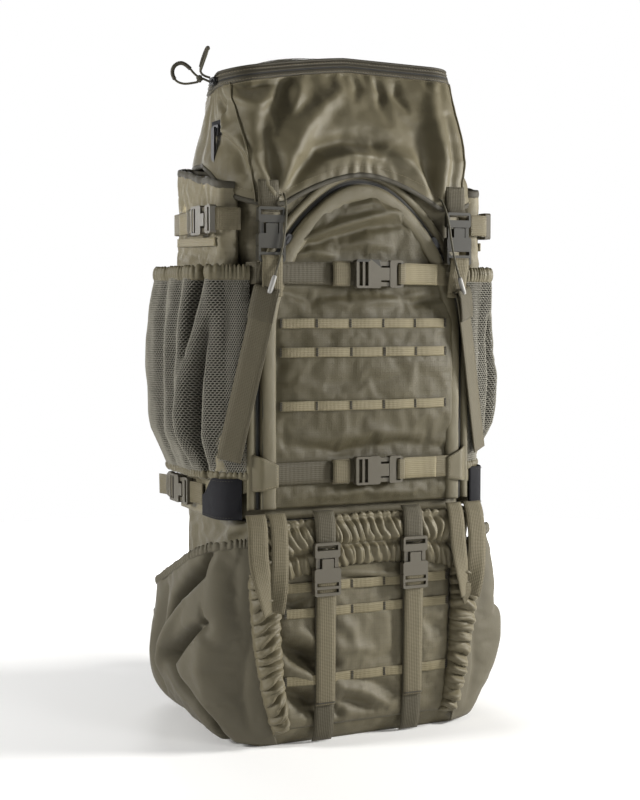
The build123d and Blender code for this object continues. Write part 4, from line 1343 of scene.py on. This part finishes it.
def base_pocket_at(side, low, high):
    span, back_x = (low.y + 1, high.y - 1), abs(low.x if side > 0 else high.x)
    bulge = abs(high.x if side > 0 else low.x) - back_x - 1.5

    def at(a, v):
        x, y, nx, ny = pocket_edge(a, span, back_x, bulge, 48.0)
        top = 226 - (y + 110) * 86 / 210 - 3
        z = 5 + (top - 5) * v
        round_foot = 1 - (1 - min(v / 0.42, 1.0)) ** 2
        belly = (0.34 + 0.62 * round_foot**0.8) * (1 - 0.20 * ease(v, 0.45, 1.0))
        lift = (1 - round_foot) * 18 * ((y - span[0]) / (span[1] - span[0]))
        inset = x - back_x
        share = min(inset / 22, 1.0)
        deep = sum(crease(a * BASE_GIRTH, z, *each) for each in BASE_FOLDS)
        loose = 2.2 * ripple(34, 111, a * 260, z, 0) + 0.6 * ripple(14, 112, a * 260, z, 0)
        out = (deep + loose) * share
        x = back_x + max(inset * belly + nx * out, 0.6)
        y = y + ny * out * 0.6
        wrap = max(1 - a * BASE_GIRTH / 50, 0) ** 1.2
        x += (steps(z, ((5, 104), (50, 116), (92, 124), (140, 129), (230, 131))) - x) * wrap
        y += (BASE.front - 2.2 - y) * wrap
        if abs(x) < BASE.half and a < 0.5:
            y = min(y, corner_face(BASE, x) - 2.0 + 9 * (1 - ease(z, 0, 26)) ** 2)
        return (side * x, y, z + lift)

    return at


def make_base_pocket(side, word):
    low, high = node_box(f"base_pocket_{word}")
    at = base_pocket_at(side, low, high)
    pocket = grid(f"base_pocket_cloth_{word}", 120, 70, at, (260, 200), DULL, flip=side > 0)
    relax(pocket, lambda p: 1.0 if abs(p.x) < 142 or p.z < 12 else 0.15, grow=0.008, cap=2.5, bend=12)
    thicken(pocket, 1.3, 0.0)
    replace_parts(pocket, f"base_pocket_{word}")
    gathered_hem(f"base_pocket_hem_{word}", at, 0.985, 2.4, 4.6, 24, 121, DULL)

    def foot(u, v):
        x, y, z = at(u, 0.0)
        inner = min(abs(x), 136.5)
        return (side * (inner + (abs(x) - inner) * v), y, z - 0.5 + 0.5 * v)

    under = grid(f"base_pocket_floor_{word}", 60, 6, foot, (260, 40), DULL, flip=side < 0)
    thicken(under, 1.0, 0.0)


def make_side_straps(side, word):
    """The two straps round each sleeve, with their tails and keepers, and the sleeve's hem strip."""

    def route(z, *points):
        return [(side * x, y, z + rise) for x, y, rise in points]

    fronts = (((164.6, -88, 0), (160.4, -92, 0), (155, -95.5, 0), (136, -99, 0)),
              ((164.6, -15, 0), (161.9, -22, 0), (159.4, -34, 0), (159, -46, 0)))
    rows = zip(("upper", "lower"), SIDE_ROWS, (-75, -2), fronts, (STRAP_PALE, STRAP))
    for name, z, buckle, front, tail_web in rows:
        rear = route(z, (133, 53, 0), (140, 52, 0), (156, 46, 0), (158.4, 38, 0), (159, buckle + 44, 0),
                     (162.9, buckle + 34, 0), (164.8, buckle + 28, 0))
        strap = swept(f"side_strap_{name}_{word}", rear, UP, *WEB, STRAP)
        if side < 0 and name == "upper":
            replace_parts(strap, "side_strap_webbing")
        swept(f"side_strap_front_{name}_{word}", route(z, *front), UP, *WEB, STRAP)
        tail = route(z, (166.6, buckle + 30, 0), (164.9, buckle + 42, 0.5), (161.8, buckle + 62, -1),
                     (163.4, buckle + 84, -2))
        swept(f"side_tail_{name}_{word}", tail, UP, *THIN_TAIL, tail_web)
        round_it = ((158.4, 14), (163.8, 13.4), (164.2, 0), (163.8, -13.4), (158.4, -14))
        ring = route(z, *((x, buckle + 52, rise) for x, rise in round_it))
        swept(f"side_keeper_{name}_{word}", ring, REARWARD, 12, 1.5, STRAP_DARK)
    hem = route(0, (158, -84, 527), (158.4, -40, 528), (158.2, 30, 530))
    swept(f"sleeve_hem_strip_{word}", hem, UP, 9, 1.6, STRAP_PALE)


def make_patch(side, word):
    """Coated patch under the lower end of the diagonal strap, its upper outer corner cut off."""
    points = [(side * x, y, PATCH_MIDDLE) for x,
              y in ((159.4, -48), (159.4, -84), (152, -97), (136, -99.5))]

    def trim(t, a, b):
        return (min(a, 21.5 * ease(t, 0.02, 0.5) + 1.0), b * (1 + 0.15 * sin(9 * t)))

    patch = swept(f"anchor_patch_{word}", points, UP, 43, 2.0, PATCH, slot="coated_patch", shape=trim)
    if side < 0:
        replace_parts(patch, "anchor_patches")
    lines = [[(x + side * 1.4, y - 0.6, z + rise) for x, y, z in points] for rise in (-19, 19)]
    stitches(f"anchor_patch_stitches_{word}", lines, DARK_THREAD)


# ---- lid ----------------------------------------------------------------------------------------
LID = Plan(LID_HIGH.x, LID_LOW.y, LID_HIGH.y, 32.0, 55.0)
LID_FRONT_SLOPE = ((566, -108.5), (618, -109), (650, -98), (700, -76), (715, -69), (735, -58))
LID_REAR_SLOPE = ((566, 86), (618, 86), (668, 50), (712, 24), (735, 12))
BAND = 13.0  # height of the zip band round the rim
HEM_LOW, HEM_ARCH = 566, 92  # height of the hem's corners, and half width of the arch between them
RIM_FOOT = 712
LID_FOLDS = (
    (((-98, 572), (-84, 615), (-66, 646), (-36, 674), (-15, 690)), 12.0, 10.0),
    (((-92, 577), (-67, 606), (-50, 624), (-20, 633), (14, 631)), 9.0, -11.0),
    (((-100, 572), (-112, 590), (-124, 607), (-137, 632)), 6.5, 8.0),
    (((-98, 574), (-104, 604), (-108, 640), (-100, 668)), 9.0, -9.0),
    (((-108, 584), (-122, 600), (-133, 634)), 4.0, -5.0),
    (((-72, 708), (-80, 688), (-91, 664), (-94, 640)), 8.0, -9.0),
    (((-58, 704), (-64, 684), (-78, 660)), 7.0, 6.0),
    (((-137, 692), (-116, 687), (-92, 692)), 6.0, -9.0),
    (((-137, 676), (-112, 668), (-96, 676)), 7.0, 6.0),
    (((-44, 612), (-14, 619), (20, 616)), 6.0, 5.0),
    (((-30, 690), (10, 660), (40, 640)), 16.0, 4.0),
    (((84, 582), (56, 610), (30, 628)), 9.0, 8.0),
    (((92, 576), (96, 620), (94, 668), (98, 700)), 10.0, 8.0),
    (((106, 578), (114, 620), (112, 668)), 7.0, -6.0),
    (((30, 706), (36, 690), (30, 674)), 6.0, -6.0),
    (((58, 704), (54, 688), (62, 672)), 6.0, -5.0),
    (((4, 708), (8, 694), (0, 680)), 5.0, -4.0),
    (((-150, 676), (-172, 668), (-190, 676)), 7.0, -6.0),
    (((-140, 650), (-160, 640), (-186, 650)), 7.0, 5.0),
    (((-130, 596), (-150, 622), (-176, 648)), 9.0, -8.0),
    (((-134, 620), (-156, 640), (-180, 664)), 8.0, 6.0),
    (((130, 596), (150, 622), (176, 648)), 9.0, -7.0),
)
LID_HOLLOW = ((88, 574), (66, 668), 16, -12)


def lid_front(z):
    return steps(z, LID_FRONT_SLOPE)


def lid_rear(z):
    return steps(z, LID_REAR_SLOPE)


def lid_hem(s):
    """Height of the lid's lower edge: an arch over the front, then rising along the sides."""
    reach = abs(s)
    if reach < HEM_ARCH:
        return HEM_LOW + 33 * (1 - (reach / HEM_ARCH) ** 1.7)
    return HEM_LOW + 47 * ease(LID.at(s)[1], -112, 8) ** 0.85


def lid_rim(s):
    """Height of the foot of the zip band: it sags towards the wearer's left."""
    x, y = LID.at(s)
    left = 20 * (max(-x, 0) / LID.half) ** 1.25
    right = 3 * max(x, 0) / LID.half
    return RIM_FOOT - left - right - 6 * ease(y, -60, 80)


def lid_out(s, z):
    swell = sum(crease(s, z, *each) for each in LID_FOLDS) + fold(s, z, *LID_HOLLOW)
    under_band = lid_rim(s) - z
    gather = sin(s / 3.1 + 4 * ripple(30, 131, s, z, 0)) * (0.5 + ripple(22, 132, s, 0, 0))
    swell += 2.6 * gather * exp(-max(under_band, 0) / 11)
    above_hem = z - lid_hem(s)
    if abs(s) < 60:
        pucker = sin(s / 2.3 + 3 * ripple(20, 133, s, z, 0)) * (1 - abs(s) / 60)
        swell += 2.8 * pucker * exp(-max(above_hem - 3, 0) / 9)
    swell += 1.6 * ripple(30, 134, s, z, 0) + 0.9 * ripple(12, 135, s, z, 0)
    flare = 9 * ease(abs(s), 130, 156) * (1 - ease(abs(s), 210, 250)) * (1 - ease(above_hem, 0, 46))
    hold = ease(under_band, 0, 7) * ease(above_hem, -2, 10)
    return swell * (0.25 + 0.75 * hold) + flare


def make_lid():
    cover = wall("lid_cover", LID, 300, 62, lid_hem, lid_rim, lid_out, PACK, "lid", front=lid_front,
                 rear=lid_rear)

    def held(p):
        tab = min((p - Vector((x, -108, 578))).length for x in (-100, 100)) < 20
        return 1.0 if tab or p.y > 70 else 0.1

    rows, count = cover["rows"], cover["count"]
    relax(cover, held, grow=0.006, cap=2.4, bend=16)
    for row in (0, 1, rows - 1, rows):  # the hem and the rim go back to where they are sewn
        for i in range(count):
            s = (i / cover["columns"] - 0.5) * 2 * LID.reach
            z = lid_hem(s) + (lid_rim(s) - lid_hem(s)) * row / rows
            x, y = LID.at(s, lid_front(z), lid_rear(z), lid_out(s, z))
            cover.data.vertices[row * count + i].co = Vector((x, y, z)) * MM
    cover.data.update()
    thicken(cover, 1.6)
    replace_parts(cover, "lid_shell")

    def at_rim(s, rise, out):
        z = lid_rim(s) + rise
        x, y = LID.at(s, lid_front(z), lid_rear(z), out)
        return (x, y, z)

    def band_at(u, v):
        s = (u - 0.5) * 2 * LID.reach
        crown = max(1 - abs(2 * v - 1) ** 5, 0)
        groove = 1.3 * (exp(-(((v - 0.40) / 0.05) ** 2)) + exp(-(((v - 0.70) / 0.05) ** 2)))
        wave = 0.5 * ripple(18, 141, s, 0, 0)
        return at_rim(s, -1 + (BAND + 2) * v, 1.6 * crown - groove + wave)

    band = grid("lid_zip_band", 260, 20, band_at, (2 * LID.reach, BAND), RIM_CLOTH, "lid", "zip_tape",
                wrap=True)
    thicken(band, 1.2)
    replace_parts(band, "lid_rim_zip")
    coil = [at_rim((k / 160 - 0.5) * 2 * 250, 0.40 * BAND, 0.9) for k in range(161)]
    swept("lid_zip_coil", coil, UP, 1.6, 0.9, COIL, "lid", "zip_tape", ROUND, 3.5, 0)
    welt = [at_rim((k / 200 - 0.5) * 2 * LID.reach, BAND + 1.2, 0.6) for k in range(201)]
    swept("lid_crown_piping", welt, UP, 3.0, 3.0, BINDING, "lid", "pack_cloth", ROUND, 4, 0)
    lines = []
    for rise, out in ((-2.2, 1.0), (1.0, 1.7), (BAND - 2.2, 1.7)):
        lines.append([at_rim((k / 200 - 0.5) * 2 * LID.reach, rise, out) for k in range(201)])
    stitches("lid_band_stitching", lines, THREAD, "lid")

    def crown_at(u, v):
        s = (u - 0.5) * 2 * LID.reach
        x0, y0, z0 = at_rim(s, BAND + 0.5, -0.3)
        x1, y1, z1 = x0 * 0.12, -26.0, 730.5
        ring = v**0.8
        dome = sin(pi / 2 * ring)
        sway = 2.4 * ripple(40, 151, x0, y0 * 2, v * 60) * sin(pi * ring)
        return (x0 + (x1 - x0) * ring, y0 + (y1 - y0) * ring, z0 + (z1 - z0) * dome + sway)

    crown = grid("lid_crown", 200, 34, crown_at, (2 * LID.reach, 110), PACK, "lid", wrap=True)
    thicken(crown, 1.4)
    middle = grid("lid_crown_middle", 24, 6, crown_cap, (30, 10), PACK, "lid", wrap=True)
    thicken(middle, 1.2)
    lid_trim(cover)


def crown_cap(u, v):
    turn = 2 * pi * u
    return (17.5 * (1 - v) * cos(turn), -26 + 7 * (1 - v) * sin(turn), 730.2 + 0.4 * v)


def lid_trim(cover):
    """Hem binding, the side seams of the front, the top stitching and the tabs."""
    bound("lid_hem_binding", cover, LID, 170, 0.0, 0.2, 5.4, 2.6, 3, "lid", "pack_cloth")
    lines = [[on_wall(cover, LID, s, 0.085, 0.9) for s in range(-150, 151, 2)]]
    for side in (-1, 1):
        seam = []
        for v in (k / 40 for k in range(41)):
            seam.append(on_wall(cover, LID, side * (122 + 17 * ease(v, 0, 1) ** 0.7), v, 0.5))
        swept(f"lid_side_seam_{side}", seam, (0.7 * side, -0.7, 0), 3.4, 1.8, PACK, "lid", "pack_cloth",
              ROUND, 3, 0)
        lines.append([p + Vector((-side * 2.6, -0.9, 0)) for p in seam])
    stitches("lid_stitching", lines, THREAD, "lid")
    for side, word in SIDES:
        x = side * 110
        tab = upright(x, (-109.8, 590), (-111.0, 578), (-111.4, 566), (-116.0, 560.5), (-118.6, 557.5))
        strap = swept(f"lid_tab_{word}", tab, RIGHT, *WEB, STRAP_DARK, "lid")
        if side < 0:
            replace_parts(strap, "lid_webbing")
        hinge = upright(side * 95, (96, 601), (90.5, 616), (87.5, 622), (64, 658))
        swept(f"lid_hinge_strap_{word}", hinge, RIGHT, *WEB, STRAP_DARK, "lid")
        anchor = upright(x, (-108.6, 470), (-109.4, 494), (-114, 502), (-118.4, 507.5))
        swept(f"lid_strap_anchor_{word}", anchor, RIGHT, *WEB, STRAP_DARK)
        tail = [(x, -121.0, 513), (x, -121.8, 506), (x - side * 1, -118.0, 488),
                (x - side * 2, -117.2, 470)]
        swept(f"lid_strap_tail_{word}", tail, RIGHT, *THIN_TAIL, STRAP)
    block_low, block_high = node_box("port_slider")
    garage = [(-137.2, block_low.y - 9, block_high.z - 1), (-137.6, block_high.y + 6, block_high.z - 1)]
    swept("port_garage", garage, UP, 12, 2.0, PATCH, "lid", "coated_patch", passes=0)


# ---- back panel, pads and harness ---------------------------------------------------------------
def cushion(name, low, high, quilts):
    """A sewn pad lying on the back panel: crowned, with rounded corners and stitched channels."""
    middle, half, thick = (low + high) / 2, (high - low) / 2, high.y - low.y
    face, edge_share, sharp = 0.8, 0.30, 0.42  # share of v for its face, of its depth at the seam, corners

    def at(u, v):
        turn = 2 * pi * u
        ring = sin(pi / 2 * min(v / face, 1.0))
        cx = copysign(abs(cos(turn)) ** sharp, cos(turn))
        cz = copysign(abs(sin(turn)) ** sharp, sin(turn))
        fit = 1 / max((abs(cx) ** 5 + abs(cz) ** 5) ** 0.2, 1e-6)
        x, z = cx * fit * half.x * ring, cz * fit * half.z * ring
        crown = 1 - ring**8
        if v < face:
            y = low.y + thick * (edge_share + (1 - edge_share) * crown**0.6)
        else:
            y = low.y + thick * edge_share * (1 - v) / (1 - face)
        for line in quilts:
            y -= 0.35 * thick * exp(-(((z + middle.z - line) / 5) ** 2)) * crown
        return (middle.x + x, y + 0.5 * ripple(20, 161, x, z, 0) * crown, middle.z + z)

    size = (2 * (half.x + half.z) * 1.9, half.x)
    pad = grid(name, 96, 40, at, size, SPACER, slot="harness_pad", wrap=True, flip=True)
    relax(pad, lambda p: 1.0 if p.y < low.y + 4 else 0.2, grow=0.02, pressure=2.0, cap=2.0)
    return pad


def make_back():
    low, high = node_box("back_cover")

    def at(u, v):
        x, z = low.x + (high.x - low.x) * u, low.z + (high.z - low.z) * v
        edge = max(1 - min(u, 1 - u, v * 2, (1 - v) * 2) / 0.06, 0)
        round_x = 24 * max(1 - min(v, 1 - v) * (high.z - low.z) / 24, 0) ** 2
        x = max(min(x, high.x - round_x), low.x + round_x)
        return (x, high.y - 0.4 - 1.6 * edge**2 + 0.5 * ripple(30, 171, x, z, 0), z)

    cover = grid("back_cover_cloth", 70, 120, at, (high.x - low.x, high.z - low.z), BACK,
                 slot="harness_pad", flip=True)
    thicken(cover, 1.8)
    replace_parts(cover, "back_cover")
    left, right, foot, top = low.x + 2, high.x - 2, low.z + 1.5, high.z - 1.5
    corners = ((left, low.z + 14), (left, high.z - 14), (low.x + 16, top), (high.x - 16, top),
               (right, high.z - 14),
               (right, low.z + 14), (high.x - 16, foot), (low.x + 16, foot), (left, low.z + 14))
    edge = [(x, high.y - 1, z) for x, z in corners]
    swept("back_cover_binding", edge, REARWARD, 4.0, 3.4, BINDING, section=ROUND, step=4)
    low, high = node_box("back_pads")
    quilts = (low.z + 70, low.z + 140)
    left = cushion("back_pad_left", low, Vector((-18, high.y, high.z)), quilts)
    cushion("back_pad_right", Vector((18, low.y, low.z)), high, quilts)
    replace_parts(left, "back_pads")
    low, high = node_box("lumbar_pad")
    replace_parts(cushion("lumbar_cushion", low, high, (low.z + 52,)), "lumbar_pad")


def padding(name, path, across, width, thick, body, taper):
    return swept(name, path, across, width, thick, SPACER, body, "harness_pad", pad_section(0.5), 5, 3,
                 taper)


def make_shoulder_strap(side, word):
    x, body = side * 62, f"shoulder_{word}"
    points = upright(x, (98, 536), (124, 520), (139, 450), (140, 380), (122, 282), (117, 252))

    def taper(t, a, b):
        wide = 1 - 0.22 * ease(t, 0.55, 1.0) - 0.1 * (1 - ease(t, 0, 0.1))
        return (a * wide, b * (1 + 0.06 * sin(t * 26)))

    strap = padding(f"shoulder_pad_{word}", points, RIGHT, 63, 9.6, body, taper)
    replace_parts(strap, f"shoulder_strap_{word}")
    spine = [(x, y + 5.6, z) for _, y, z in points[1:]]
    swept(f"shoulder_webbing_{word}", spine, RIGHT, 23, 1.6, STRAP_DARK, body)
    for edge in (-1, 1):
        rim = [(x + edge * (30.5 - 7 * ease(k, 2, 5)), y + 0.2, z) for k, (_, y, z) in enumerate(points)]
        swept(f"shoulder_binding_{word}_{edge}", rim, RIGHT, 3.4, 4.0, BINDING, body, "harness_pad", ROUND,
              4, 3)
    lifter = upright(x, (94.8, 586), (109, 574), (118, 549))
    lift = swept(f"load_lifter_{word}", lifter, RIGHT, 19, 1.5, STRAP_DARK)
    if side < 0:
        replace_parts(lift, "strap_anchor_webbing")
    anchor = upright(x, (94.6, 176), (108, 190), (116, 244))
    swept(f"strap_anchor_{word}", anchor, RIGHT, *WEB, STRAP_DARK)
    hinge = upright(side * 95, (94.6, 556), (94.4, 588), (95.6, 599.6))
    swept(f"lid_hinge_anchor_{word}", hinge, RIGHT, *WEB, STRAP_DARK)
    adjust = upright(x, (123, 274), (127, 268), (131.4, 262), (128, 256), (124, 236), (121, 214))
    swept(f"adjuster_webbing_{word}", adjust, RIGHT, *WEB, STRAP_DARK, body)
    if side < 0:
        sternum = [(-62, 146.6, 424), (-40, 148.4, 431), (-17, 150.6, 435), (-17, 151.5, 429)]
    else:
        sternum = [(62, 146.6, 424), (40, 148.4, 434), (17, 150.6, 444), (17, 151.0, 441)]
    swept(f"sternum_webbing_{word}", sternum, UP, 15, 1.5, STRAP_DARK, body)


def make_hip_wing(side, word):
    z, body = 88, f"hip_{word}"

    def taper(t, a, b):
        return (a * (1 - 0.34 * ease(t, 0.5, 1.0)), b * (1 + 0.05 * sin(t * 20)))

    path = level(z, *((side * x, y) for x, y in ((104, 106), (138, 120), (146, 150), (62, 172))))
    wing = padding(f"hip_pad_{word}", path, UP, 82, 11.4, body, taper)
    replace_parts(wing, f"hip_wing_{word}")
    end = (30, 178.6) if side < 0 else (44, 178.8)
    spine = level(z, *((side * x, y) for x, y in ((146, 122), (153, 150), (128, 162), (62, 178.6), end)))
    swept(f"hip_webbing_{word}", spine, UP, 28, 1.8, STRAP_DARK, body)


def make_handle():
    points = [(-40, 102, 578), (-34, 102, 552), (34, 102, 552), (40, 102, 578)]
    handle = swept("haul_handle_grip", points, REARWARD, 11.5, 4.0, STRAP_DARK, "haul_handle",
                   section=pad_section(0.6, 16), step=2.5, passes=3)
    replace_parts(handle, "haul_handle")


# ---- finish of the moulded and metal pieces that stay as designed --------------------------------
def paint(material, *names):
    for name in names:
        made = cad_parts[name]
        made.data.materials.clear()
        made.data.materials.append(material)
        bevel = made.modifiers.new("edges", "BEVEL")
        bevel.width, bevel.segments, bevel.limit_method = 0.45 * MM, 2, "ANGLE"
        bevel.harden_normals = False


def paint_hardware():
    grey = [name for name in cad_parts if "plug" in name or "socket" in name or "adjuster" in name]
    olive = [name for name in grey if name.startswith("lid_strap") or name.startswith("hip")
             or name.startswith("sternum")]
    paint(BUCKLE, *[name for name in grey if name not in olive])
    paint(BUCKLE_OLIVE, *olive)
    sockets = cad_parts["front_buckle_sockets"].data
    sockets.materials.append(BUCKLE_OLIVE)
    for face in sockets.polygons:
        if face.center.z > (STRAP_ROWS[0] + 12) * MM:
            face.material_index = 1
    paint(BLACK, "rim_slider", "port_slider", "front_slider_left", "front_slider_right")
    paint(SHEET, "frame_sheet")
    paint(ALLOY, "frame_stays")


make_bag()
make_front_panel()
for number, z in enumerate(PALS_ROWS):
    row = pals_row(f"pals_upper_{number}", z, panel_face)
    if number == 0:
        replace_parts(row, "pals_webbing")
for number, z in enumerate(BASE_PALS_ROWS):
    pals_row(f"pals_base_{number}", z, base_face)
make_cross_straps()
make_strap_wings()
for side, word in SIDES:
    make_diagonal_strap(side, word)
    make_gear_loops(side, word)
for side, word in SIDES:
    make_base_straps(side, word)
make_base()
make_base_front()
for side, word in SIDES:
    make_sleeve(side, word)
    make_mesh_pocket(side, word)
    make_base_pocket(side, word)
    make_side_straps(side, word)
    make_patch(side, word)
    make_shoulder_strap(side, word)
    make_hip_wing(side, word)
make_lid()
make_back()
make_handle()
paint_hardware()
